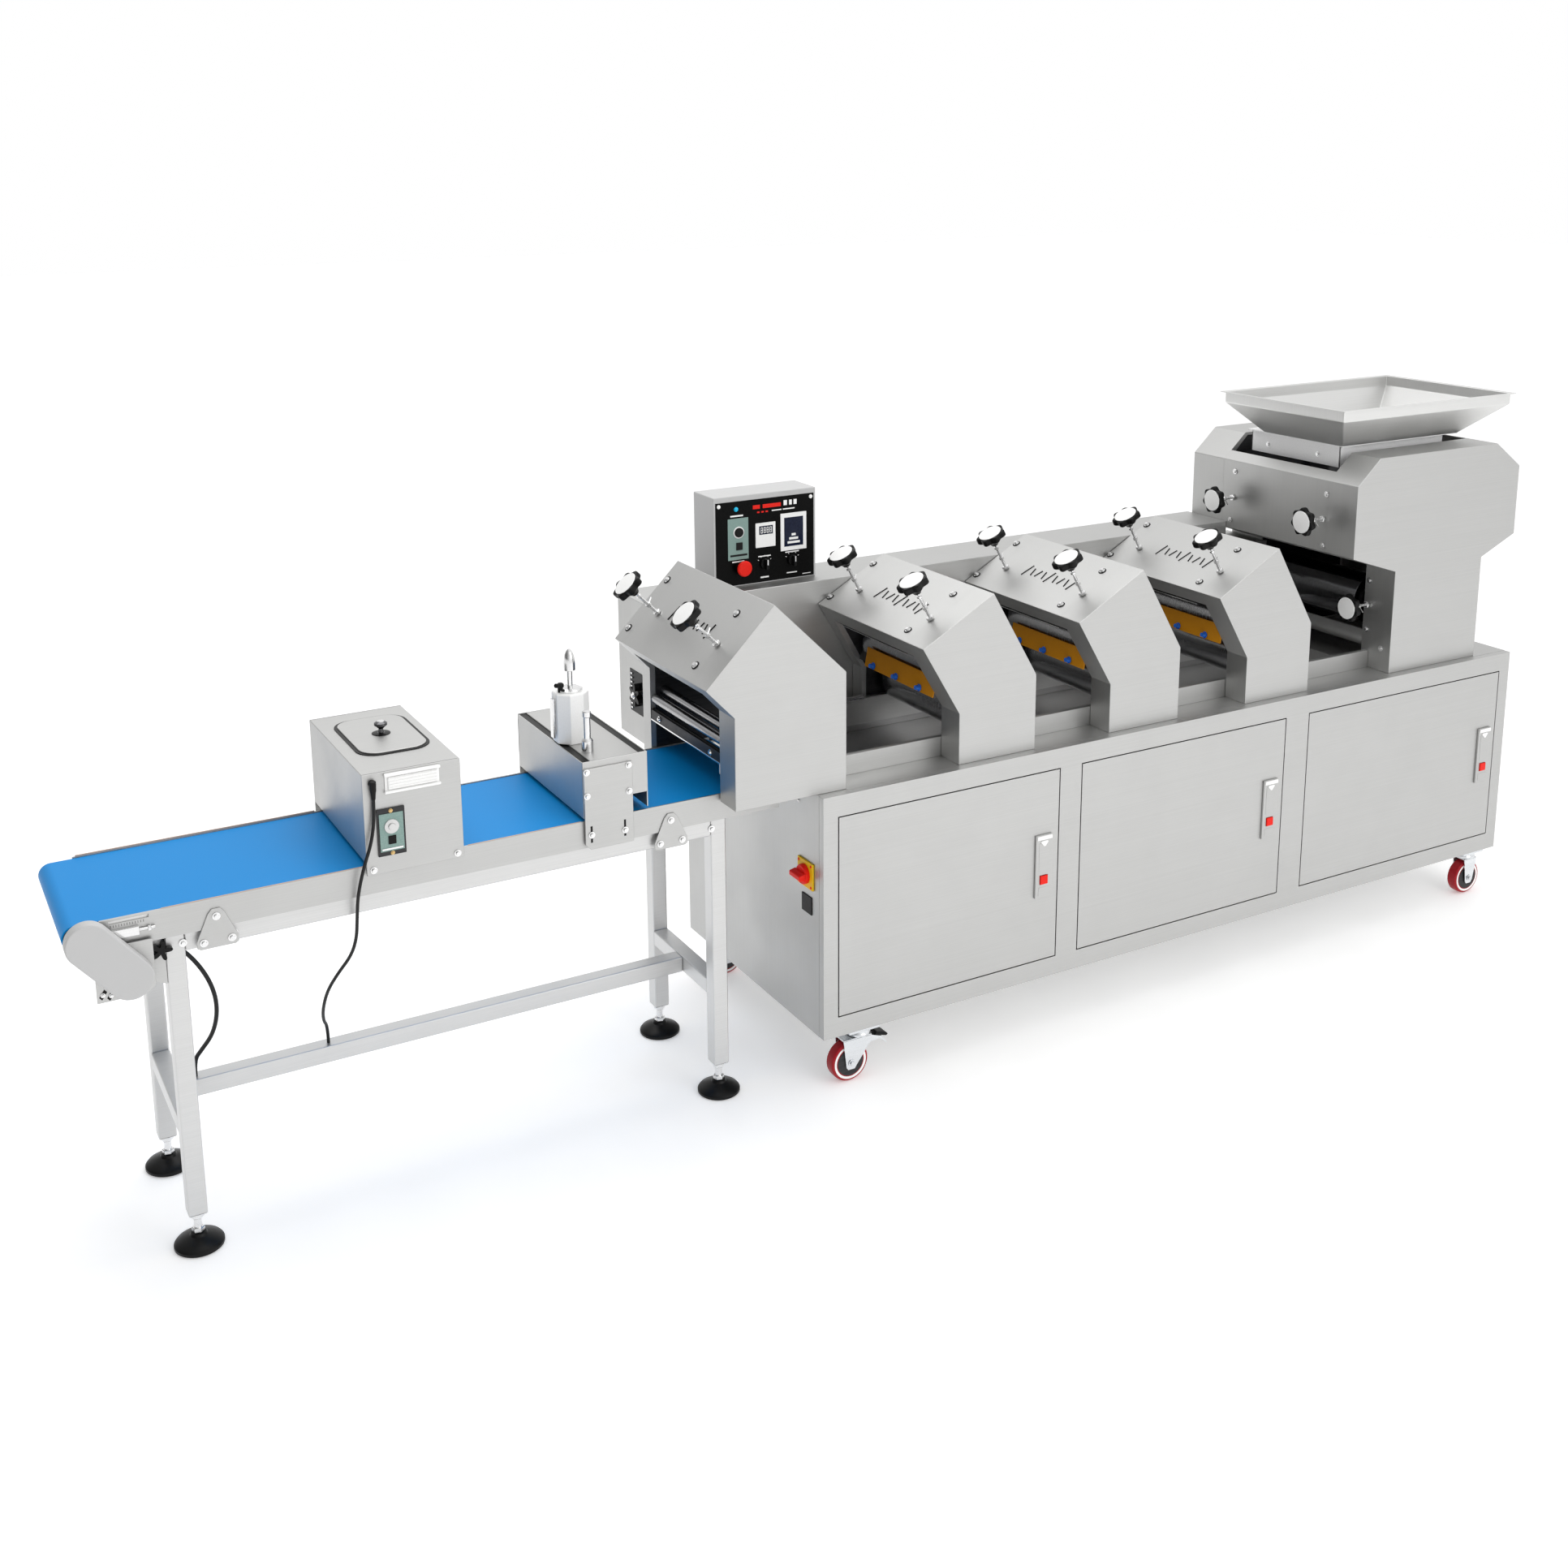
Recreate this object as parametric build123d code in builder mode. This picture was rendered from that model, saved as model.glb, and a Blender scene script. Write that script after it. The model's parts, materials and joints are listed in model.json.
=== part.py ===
"""Continuous dough sheeter: a wheeled cabinet with a hopper head, three intermediate roller
stations and an end station, followed by a belt conveyor with a flour duster and a cutter.

All lengths are millimetres.  +X runs from the conveyor to the hopper, +Y from the operator's
side to the back, +Z up.  The origin is on the floor under the middle of the whole machine.
Places are written in cabinet coordinates (x from the cabinet's left end, y from its front,
z from the floor) and shifted to the origin in the helpers slab, profile_y and so on.
"""
import os
from math import cos, hypot, pi, radians, sin
from build123d import *

os.makedirs("parts", exist_ok=True)

# ---- overall ----
BELT_REACH = 1600          # belt nose, left of the cabinet's left end
HEAD_REACH = 2313          # right-hand side of the hopper head, from the cabinet's left end
FRONT_PROUD = 9            # door latches stand this far in front of the cabinet
CAB_DEPTH = 703
CAB_X = (BELT_REACH - HEAD_REACH) / 2
CAB_Y = -(CAB_DEPTH - FRONT_PROUD) / 2

# ---- sheet work and clearances ----
SHEET = 3                  # stainless sheet
SEAM = 0.3                 # gap between separately cut plates of one weldment
CLEAR = 0.5                # gap between neighbouring pieces
FIT = 0.05                 # radial running fit
FRAME_T = 8                # side frames that carry the rollers

# ---- cabinet ----
CAB_LENGTH = 2305
CAB_BOTTOM = 135
DECK = 735
DOOR_BOTTOM = 187
DOOR_TOP = 681
DOOR_SPANS = [(42, 674), (745, 1428), (1515, 2263)]
DOOR_GAP = 2.5
POST_DEPTH = 20

# ---- roller stations: openings between the side frames ----
BOX_FRONT = 27.5           # front face of the side boxes
FRAME_FRONT = 102          # inner face of the front side frame
FRAME_BACK = 468           # inner face of the rear side frame
BOX_BACK = 512             # rear face of the side boxes
ROLL_MID_Y = (FRAME_FRONT + FRAME_BACK) / 2
STATION_X = 391
STATION_PITCH = 456.5
ROLL_R = 60
ROLL_FACE = 328
NIP = 2
GAP_TRAVEL = 12
STEM_ALONG = 88            # screw's place up the roof, from its lower edge
ROOF_TO_ROLL = 165
SHAFT_R = 15
BAR_ABOVE = 68             # the crosshead bar above the upper roller's axis
STEM_R = 4
BAR_THICK = 24
BAR_WIDE = 40
BLOCK_T = 12
LIP_FOLD = 44              # turned down lip along the roof's lower edge
SCRAPER_FOOT = (-26, 150)  # scraper plate's edges, from the foot of the station's front corner
SCRAPER_HEAD = (-17, 199)
BEARING_R = 26

# ---- hand knobs ----
KNOB_R = 40
KNOB_H = 22
KNOB_REACH = 96            # underside of a station knob above the roof
HEAD_KNOB_REACH = 62

# ---- trough between the stations ----
RAIL_TOP = 784
TROUGH_FLOOR = 690
TROUGH_LEFT = 60
TROUGH_RIGHT = 1837.5
RAIL_FLANGE = 10

# ---- rear drive cover and control box ----
REAR_FRONT = 514
REAR_BACK = 680
REAR_TOP = 1097
REAR_LOW_TOP = 1020        # under the overhanging hopper head
REAR_LEFT = -195
CTRL_X0, CTRL_X1 = 15, 308
CTRL_FRONT, CTRL_BACK = 560, 668
CTRL_TOP = 1330

# ---- hopper head ----
HEAD_X = 1838
HEAD_FRAME_FRONT = 130
HEAD_FRAME_BACK = 535
HEAD_BACK = 662
HEAD_PROFILE = [(0, 0), (0, 291), (-165, 345), (-165, 545), (-87, 615),
                (375, 615), (475, 543), (475, 345), (345, 291), (345, 0)]
HEAD_NOTCH_TOP = 569       # top of the sloping front panel, above the deck
FEED_R = 80
FEED_Z = 437               # axis of the feed rollers above the deck
FEED_X = 40                # axis of the movable feed roller from the head's left face
FEED_TRAVEL = 20
HEAD_BAR_ABOVE = 98        # the crosshead bar above the feed roller's axis
LOWER_R = 70
LOWER_X, LOWER_Z = 52, 180

# ---- hopper ----
RIM_X0, RIM_X1 = 1622, 2272
RIM_Y0, RIM_Y1 = 45, 490
RIM_TOP = 1486
LIP_BOTTOM = 1456
FUNNEL_BOTTOM = 1368
FUNNEL_X0, FUNNEL_X1 = 1725, 2180
FUNNEL_Y0, FUNNEL_Y1 = 140, 436
THROAT_X0, THROAT_X1 = 1744, 2150
THROAT_Y0, THROAT_Y1 = 165, 500
THROAT_BOTTOM = 1308
RIM_FLANGE = 11

# ---- conveyor ----
BELT_TOP = 750
BELT_R = 25
BELT_T = 3
BELT_RIGHT = -45
BELT_Y0, BELT_Y1 = 116, 459
SIDE_Y0, SIDE_Y1 = 108, 466
SIDE_T = 4
SIDE_LEFT = -1532
SIDE_BOTTOM = 690
BEAM_BOTTOM = 650
TUBE = 38
LEG_X = (-1397, -207)
LEG_Y = (138, 463)
LEG_BOTTOM = 75
STRETCHER_TOP = 284
FOOT_R = 50

# ---- duster and cutter over the belt ----
DUST_X0, DUST_X1 = -1018, -812
DUST_Y0, DUST_Y1 = 100, 505
DUST_TOP = 950
DUST_SKIRT = 733
PASS_Z = 760               # lower edge of the walls that the belt runs under
LID_X, LID_Y = -910, 325
LID_L, LID_W, LID_CORNER = 150, 244, 42
LID_LIFT = 60
CUT_X0, CUT_X1 = -540, -387
CUT_Y0, CUT_Y1 = 103, 490
CUT_TOP = 888
CUT_SLOT = 15
RAM_X, RAM_Y = -500, 258
RAM_STROKE = 36
TOWER_FLAT = 38
TOWER_TOP = 1003
RAM_ROD_R = 6

# ---- casters ----
WHEEL_R = 50
WHEEL_W = 32
CASTER_IN_X = 84
CASTER_IN_Y = 34
TRAIL = 30

parts_written = []


def save(builder, label):
    """Label one finished sub-part and write it."""
    builder.part.label = label
    export_step(builder.part, f"parts/{label}.step")
    parts_written.append(label)


def slab(x0, x1, y0, y1, z0, z1, mode=Mode.ADD):
    """A flat plate or block given by its corner planes in cabinet coordinates."""
    with Locations((CAB_X + (x0 + x1) / 2, CAB_Y + (y0 + y1) / 2, (z0 + z1) / 2)):
        Box(x1 - x0, y1 - y0, z1 - z0, mode=mode)


def profile_y(points, y0, y1):
    """A prism along Y with the given outline of (x, z) points."""
    with BuildSketch(Plane.XZ.offset(-(CAB_Y + y1))) as outline:
        with BuildLine():
            Polyline(*[(CAB_X + x, z) for x, z in points], close=True)
        make_face()
    extrude(outline.sketch, amount=y1 - y0)


def round_y(x, z, radius, y0, y1, mode=Mode.ADD):
    """A cylinder along Y."""
    with BuildSketch(Plane.XZ.offset(-(CAB_Y + y1))) as disc:
        with Locations((CAB_X + x, z)):
            Circle(radius)
    extrude(disc.sketch, amount=y1 - y0, mode=mode)


def round_z(x, y, radius, z0, z1, mode=Mode.ADD):
    """A cylinder along Z."""
    with BuildSketch(Plane.XY.offset(z0)) as disc:
        with Locations((CAB_X + x, CAB_Y + y)):
            Circle(radius)
    extrude(disc.sketch, amount=z1 - z0, mode=mode)


def round_x(y, z, radius, x0, x1, mode=Mode.ADD):
    """A cylinder along X."""
    with BuildSketch(Plane.YZ.offset(CAB_X + x0)) as disc:
        with Locations((CAB_Y + y, z)):
            Circle(radius)
    extrude(disc.sketch, amount=x1 - x0, mode=mode)


def inset(points, depth):
    """The clockwise outline moved inwards by depth, corner by corner."""
    moved = []
    count = len(points)
    for i in range(count):
        (ax, az), (bx, bz), (cx, cz) = points[i - 1], points[i], points[(i + 1) % count]
        ux, uz = (bx - ax) / hypot(bx - ax, bz - az), (bz - az) / hypot(bx - ax, bz - az)
        vx, vz = (cx - bx) / hypot(cx - bx, cz - bz), (cz - bz) / hypot(cx - bx, cz - bz)
        turn = 1 + ux * vx + uz * vz
        moved.append((bx + depth * (uz + vz) / turn, bz - depth * (ux + vx) / turn))
    return moved


def fold(points, i, y0, y1, start=SEAM / 2, end=SEAM / 2):
    """The sheet along side i of an outline, mitred, its two ends drawn back by start and end."""
    inner = inset(points, SHEET)
    j = (i + 1) % len(points)
    length = hypot(points[j][0] - points[i][0], points[j][1] - points[i][1])
    ux, uz = (points[j][0] - points[i][0]) / length, (points[j][1] - points[i][1]) / length
    corners = [
        (points[i][0] + ux * start, points[i][1] + uz * start),
        (points[j][0] - ux * end, points[j][1] - uz * end),
        (inner[j][0] - ux * end, inner[j][1] - uz * end),
        (inner[i][0] + ux * start, inner[i][1] + uz * start),
    ]
    profile_y(corners, y0, y1)


def shifted(points, x, z):
    """An outline moved by x and z."""
    return [(px + x, pz + z) for px, pz in points]


class Station:
    """The outline and the slanted screw axis of one roller station."""

    def __init__(self, name, x, knee, lip, peak, back, knobs, along=STEM_ALONG):
        self.name = name
        self.outline = shifted([(0, 0), (0, knee), lip, peak, back, (back[0], 0)], x, DECK)
        self.knobs = knobs
        self.lip = self.outline[2]
        rise = peak[1] - lip[1]
        run = peak[0] - lip[0]
        length = hypot(rise, run)
        self.up = (run / length, rise / length)
        self.out = (-rise / length, run / length)
        self.stem = (self.lip[0] + self.up[0] * along, self.lip[1] + self.up[1] * along)
        self.upper = (self.stem[0] - self.out[0] * ROOF_TO_ROLL,
                      self.stem[1] - self.out[1] * ROOF_TO_ROLL)
        drop = 2 * ROLL_R + NIP
        self.lower = (self.upper[0] - self.out[0] * drop, self.upper[1] - self.out[1] * drop)

    def plane(self, y):
        """The slanted frame through the upper roller's axis: Z along the screws, Y along the roller."""
        x, z = self.upper
        return Plane(origin=(CAB_X + x, CAB_Y + y, z), x_dir=(self.up[0], 0, self.up[1]),
                     z_dir=(self.out[0], 0, self.out[1]))


STATIONS = [
    Station(f"station_{n + 1}", STATION_X + n * STATION_PITCH, 127, (-105, 301), (94, 410),
            (225, 190), (112, 432))
    for n in range(3)
]
END = Station("end", -209, 218, (-70, 292), (102, 463), (287, 281), (112, 420), along=104)
ALL_STATIONS = [END] + STATIONS
HEAD = shifted(HEAD_PROFILE, HEAD_X, DECK)
HEAD_KNOB_Y = (143, 490)
HEAD_MID_Y = (HEAD_FRAME_FRONT + HEAD_FRAME_BACK) / 2
HEAD_FACE = 360


# ======== cabinet ========
with BuildPart() as cabinet_body:
    low = CAB_BOTTOM + SHEET + SEAM
    high = DECK - SHEET - SEAM
    slab(0, CAB_LENGTH, 0, CAB_DEPTH, CAB_BOTTOM, CAB_BOTTOM + SHEET)
    slab(0, CAB_LENGTH, CAB_DEPTH - SHEET, CAB_DEPTH, low, high)
    for end_x in (0, CAB_LENGTH - SHEET):
        slab(end_x, end_x + SHEET, 0, CAB_DEPTH - SHEET - SEAM, low, high)
    left_post = SHEET + SEAM
    right_post = CAB_LENGTH - SHEET - SEAM
    slab(left_post, right_post, 0, POST_DEPTH, DOOR_TOP + DOOR_GAP, high)
    slab(left_post, right_post, 0, POST_DEPTH, low, DOOR_BOTTOM - DOOR_GAP)
    post_edges = [left_post]
    for door_left, door_right in DOOR_SPANS:
        post_edges += [door_left - DOOR_GAP, door_right + DOOR_GAP]
    post_edges.append(right_post)
    for post_x0, post_x1 in zip(post_edges[::2], post_edges[1::2]):
        slab(post_x0, post_x1, 0, POST_DEPTH, DOOR_BOTTOM - DOOR_GAP + SEAM, DOOR_TOP + DOOR_GAP - SEAM)
    slab(0, CAB_LENGTH, 0, FRAME_FRONT, DECK - SHEET, DECK)
    slab(0, CAB_LENGTH, FRAME_BACK + SEAM, CAB_DEPTH, DECK - SHEET, DECK)
    slab(0, TROUGH_LEFT - CLEAR, FRAME_FRONT + SEAM, FRAME_BACK, DECK - SHEET, DECK)
    slab(TROUGH_RIGHT + CLEAR, CAB_LENGTH, FRAME_FRONT + SEAM, FRAME_BACK, DECK - SHEET, DECK)
    slab(-5, -SEAM, 42, 112, 494, 560)         # mains switch plate
    slab(-2.5, -SEAM, 52, 97, 430, 474)        # cover of the second switch cut-out
save(cabinet_body, "cabinet_body")

# trough and side rails that run through under the stations
with BuildPart() as transfer_trough:
    trough_front = FRAME_FRONT + 1.5
    trough_back = FRAME_BACK - 1.5
    slab(TROUGH_LEFT, TROUGH_RIGHT, trough_front, trough_front + SHEET, TROUGH_FLOOR, RAIL_TOP)
    slab(TROUGH_LEFT, TROUGH_RIGHT, trough_back - SHEET, trough_back, TROUGH_FLOOR, RAIL_TOP)
    inner_front = trough_front + SHEET + SEAM
    inner_back = trough_back - SHEET - SEAM
    slab(TROUGH_LEFT, TROUGH_RIGHT, inner_front, inner_back, TROUGH_FLOOR, TROUGH_FLOOR + SHEET)
    slab(TROUGH_LEFT, TROUGH_RIGHT, inner_front, inner_front + RAIL_FLANGE, RAIL_TOP - SHEET, RAIL_TOP)
    slab(TROUGH_LEFT, TROUGH_RIGHT, inner_back - RAIL_FLANGE, inner_back, RAIL_TOP - SHEET, RAIL_TOP)
    for wall_x in (TROUGH_LEFT, TROUGH_RIGHT - SHEET):
        slab(wall_x, wall_x + SHEET, inner_front, inner_back, TROUGH_FLOOR + SHEET + SEAM, DECK)
save(transfer_trough, "transfer_trough")

with BuildPart() as rear_drive_cover:
    rear_right = HEAD_X + HEAD_PROFILE[2][0] - CLEAR
    rear_low = DECK + SEAM
    slab(REAR_LEFT, rear_right, REAR_FRONT, REAR_BACK, REAR_TOP - SHEET, REAR_TOP)
    rear_high = REAR_TOP - SHEET - SEAM
    slab(REAR_LEFT, rear_right, REAR_FRONT, REAR_FRONT + SHEET, rear_low, rear_high)
    slab(REAR_LEFT, rear_right, REAR_BACK - SHEET, REAR_BACK, rear_low, rear_high)
    for wall_x in (REAR_LEFT, rear_right - SHEET):
        slab(wall_x, wall_x + SHEET, REAR_FRONT + SHEET + SEAM, REAR_BACK - SHEET - SEAM, rear_low, rear_high)
    # lower run of the cover under the hopper head
    low_left = rear_right + SEAM
    low_right = HEAD_X - CLEAR
    slab(low_left, low_right, REAR_FRONT, REAR_FRONT + SHEET, rear_low, REAR_LOW_TOP)
    slab(low_left, low_right, REAR_BACK - SHEET, REAR_BACK, rear_low, REAR_LOW_TOP)
    slab(low_left, low_right, REAR_FRONT + SHEET + SEAM, REAR_BACK - SHEET - SEAM, REAR_LOW_TOP - SHEET,
         REAR_LOW_TOP)
save(rear_drive_cover, "rear_drive_cover")

# ======== doors, latches ========
door_names = []
for number, (door_left, door_right) in enumerate(DOOR_SPANS, start=1):
    latch_x = door_right - 46
    with BuildPart() as door:
        slab(door_left, door_right, 0, SHEET, DOOR_BOTTOM, DOOR_TOP)
        slab(latch_x - 24, latch_x + 24, -6, -SEAM, 356, 521)
        slab(latch_x - 12, latch_x + 12, -6, -SEAM, 391, 415, mode=Mode.SUBTRACT)
    save(door, f"door_{number}")
    with BuildPart() as latch_button:
        slab(latch_x - 11.3, latch_x + 11.3, -FRONT_PROUD, -3.6, 391.7, 414.3)
    save(latch_button, f"latch_button_{number}")


# ======== roller stations ========
def side_box(outline, y0, y1, walls):
    """The folded walls of one side box, without the roof."""
    for i in walls:
        fold(outline, i, y0, y1)


def station_shell(station):
    """Hood of a station: two side boxes, the roof over both, the lip and the side frames."""
    outline = station.outline
    plate = inset(outline, SHEET + SEAM)
    fold(outline, 2, BOX_FRONT, BOX_BACK)
    fold(outline, 3, BOX_FRONT, BOX_BACK)
    side_box(outline, BOX_FRONT, FRAME_FRONT, (0, 1, 4))
    side_box(outline, FRAME_BACK, BOX_BACK, (0, 1, 4))
    profile_y(plate, BOX_FRONT, BOX_FRONT + SHEET)
    profile_y(plate, FRAME_FRONT - FRAME_T, FRAME_FRONT)
    profile_y(plate, FRAME_BACK, FRAME_BACK + FRAME_T)
    profile_y(plate, BOX_BACK - SHEET, BOX_BACK)
    knee, lip = outline[1], outline[2]
    drop = hypot(lip[0] - knee[0], lip[1] - knee[1]) - LIP_FOLD
    fold(outline, 1, FRAME_FRONT + SEAM, FRAME_BACK - SEAM, start=drop)
    for y in station.knobs:
        with BuildSketch(station.plane(y).offset(ROOF_TO_ROLL - 2 * SHEET)) as hole:
            Circle(STEM_R + 2)
        extrude(hole.sketch, amount=3 * SHEET, mode=Mode.SUBTRACT)


with BuildPart() as station_covers:
    for station in STATIONS:
        station_shell(station)
save(station_covers, "station_covers")

with BuildPart() as end_cover:
    station_shell(END)
    end_x, end_z = END.outline[0]
    for guide_x, guide_z in ((14, 140), (31, 158)):
        round_y(end_x + guide_x, end_z + guide_z, 11, FRAME_FRONT + SEAM, FRAME_BACK - SEAM)
    slab(end_x + 1, end_x + 7, FRAME_FRONT + SEAM, FRAME_BACK - SEAM, end_z + 92, end_z + 114)
save(end_cover, "end_cover")

with BuildPart() as scraper_plates:
    for station in STATIONS:
        corner_x, corner_z = station.outline[0]
        foot_x, foot_z = corner_x + SCRAPER_FOOT[0], corner_z + SCRAPER_FOOT[1]
        head_x, head_z = corner_x + SCRAPER_HEAD[0], corner_z + SCRAPER_HEAD[1]
        profile_y([(foot_x, foot_z), (head_x, head_z), (head_x + SHEET, head_z), (foot_x + SHEET, foot_z)],
                  FRAME_FRONT + CLEAR, 412)
save(scraper_plates, "scraper_plates")


def roller_carrier(roll_r, face, mid_to_block, bar):
    """Crosshead above a roller: the roller, its shaft, two end blocks and the tapped bar."""
    with Locations(Rotation(90, 0, 0)):
        Cylinder(roll_r, face)
        Cylinder(SHAFT_R, 2 * mid_to_block + BLOCK_T)
    for side in (-1, 1):
        with Locations((0, side * mid_to_block, (bar + BAR_THICK) / 2 - 10)):
            Box(BAR_WIDE, BLOCK_T, bar + BAR_THICK + 20)
    with Locations((0, 0, bar + BAR_THICK / 2)):
        Box(BAR_WIDE, 2 * mid_to_block, BAR_THICK)


def tapped_holes(plane_at, ys, roll_r, bar):
    """The holes for the adjusting screws, through the crosshead bar and down to just above the roller."""
    for y in ys:
        with BuildSketch(plane_at(y).offset(roll_r + 1)) as hole:
            Circle(STEM_R + FIT)
        extrude(hole.sketch, amount=bar + BAR_THICK - roll_r, mode=Mode.SUBTRACT)


def knob_shape(plane, inside, reach):
    """An adjusting screw with a seven-lobed hand knob, on a plane at the roof's outer face."""
    with BuildSketch(plane.offset(-inside)) as stem:
        Circle(STEM_R)
    extrude(stem.sketch, amount=inside + reach)
    with BuildSketch(plane.offset(reach)) as grip:
        Circle(KNOB_R - 7)
        with PolarLocations(KNOB_R - 9, 7):
            Circle(9)
    extrude(grip.sketch, amount=KNOB_H)


for station in ALL_STATIONS:
    with BuildPart(station.plane(ROLL_MID_Y)) as upper_roller:
        roller_carrier(ROLL_R, ROLL_FACE, 172, BAR_ABOVE)
        tapped_holes(station.plane, station.knobs, ROLL_R, BAR_ABOVE)
    save(upper_roller, f"{station.name}_upper_roller")
    x, z = station.lower
    with BuildPart() as lower_roller:
        round_y(x, z, ROLL_R, ROLL_MID_Y - ROLL_FACE / 2, ROLL_MID_Y + ROLL_FACE / 2)
        round_y(x, z, SHAFT_R, FRAME_FRONT + 1, FRAME_BACK - 1)
    save(lower_roller, f"{station.name}_lower_roller")
    for side, y in zip(("front", "rear"), station.knobs):
        with BuildPart() as knob:
            knob_shape(station.plane(y).offset(ROOF_TO_ROLL), ROOF_TO_ROLL - ROLL_R - GAP_TRAVEL - 2, KNOB_REACH)
        save(knob, f"{station.name}_{side}_knob")

# ======== hopper head ========
with BuildPart() as head_cover:
    column = [(HEAD_X + SHEET + SEAM, DECK + SEAM), (HEAD_X + SHEET + SEAM, DECK + 291 - 2),
              (HEAD_X + 345 - SHEET - SEAM, DECK + 291 - 2), (HEAD_X + 345 - SHEET - SEAM, DECK + SEAM)]
    upper = inset(shifted(HEAD_PROFILE[1:9], HEAD_X, DECK), SHEET + SEAM)
    for y0, y1, frame in ((BOX_FRONT, HEAD_FRAME_FRONT, HEAD_FRAME_FRONT - FRAME_T),
                          (HEAD_FRAME_BACK, HEAD_BACK, HEAD_FRAME_BACK)):
        for i in (0, 1, 2, 3, 4, 5, 6, 7, 8):
            fold(HEAD, i, y0, y1)
        skin = y0 if frame > y0 else y1 - SHEET
        for outline in (column, upper):
            profile_y(outline, skin, skin + SHEET)
            profile_y(outline, frame, frame + FRAME_T)
    span = (HEAD_FRAME_FRONT + SEAM, HEAD_FRAME_BACK - SEAM)
    notch = (HEAD_PROFILE[4][1] - HEAD_NOTCH_TOP) * hypot(78, 70) / 70
    for i in (1, 2, 6, 7, 8):
        fold(HEAD, i, *span)
    fold(HEAD, 3, *span, end=notch)
    for y in HEAD_KNOB_Y:
        round_x(y, DECK + FEED_Z, STEM_R + 2, HEAD[2][0] - 1, HEAD[2][0] + SHEET + 1, mode=Mode.SUBTRACT)
save(head_cover, "head_cover")


def feed_plane(y):
    """The frame of the movable feed roller: Z towards the front panel, Y along the roller."""
    return Plane(origin=(CAB_X + HEAD_X + FEED_X, CAB_Y + y, DECK + FEED_Z), x_dir=(0, 0, 1), z_dir=(-1, 0, 0))


PANEL_TO_FEED = FEED_X - HEAD_PROFILE[2][0]
HEAD_BLOCK = (HEAD_FRAME_BACK - HEAD_FRAME_FRONT) / 2 - 10
with BuildPart(feed_plane(HEAD_MID_Y)) as head_feed_roller:
    roller_carrier(FEED_R, HEAD_FACE, HEAD_BLOCK, HEAD_BAR_ABOVE)
    tapped_holes(feed_plane, HEAD_KNOB_Y, FEED_R, HEAD_BAR_ABOVE)
save(head_feed_roller, "head_feed_roller")

for label, roller_r, x, z in (("head_fixed_roller", FEED_R, FEED_X + 2 * FEED_R + 4, FEED_Z),
                              ("head_lower_roller", LOWER_R, LOWER_X, LOWER_Z)):
    with BuildPart() as head_roller:
        round_y(HEAD_X + x, DECK + z, roller_r, HEAD_MID_Y - HEAD_FACE / 2, HEAD_MID_Y + HEAD_FACE / 2)
        round_y(HEAD_X + x, DECK + z, SHAFT_R, HEAD_FRAME_FRONT + 1, HEAD_FRAME_BACK - 1)
    save(head_roller, label)

for side, y in zip(("front", "rear"), HEAD_KNOB_Y):
    with BuildPart() as knob:
        knob_shape(feed_plane(y).offset(PANEL_TO_FEED), PANEL_TO_FEED - FEED_R - FEED_TRAVEL - 2, HEAD_KNOB_REACH)
    save(knob, f"head_{side}_knob")

CLAMP_Y, CLAMP_Z = 117, 914
CLAMP_PLANE = Plane(origin=(CAB_X + HEAD_X, CAB_Y + CLAMP_Y, CLAMP_Z), x_dir=(0, 0, 1), z_dir=(-1, 0, 0))
with BuildPart() as head_clamp_knob:
    knob_shape(CLAMP_PLANE, -CLEAR, HEAD_KNOB_REACH)
save(head_clamp_knob, "head_clamp_knob")


# ======== hopper ========
def slanted_plate(top, bottom, z_top, z_bottom):
    """A plate that leans from one rectangle (x0, x1, y0, y1) down to another."""
    sections = []
    for z, (x0, x1, y0, y1) in ((z_bottom, bottom), (z_top, top)):
        with BuildSketch(Plane.XY.offset(z)) as section:
            with Locations((CAB_X + (x0 + x1) / 2, CAB_Y + (y0 + y1) / 2)):
                Rectangle(x1 - x0, y1 - y0)
        sections.append(section.sketch.face())
    loft(sections)


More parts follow.
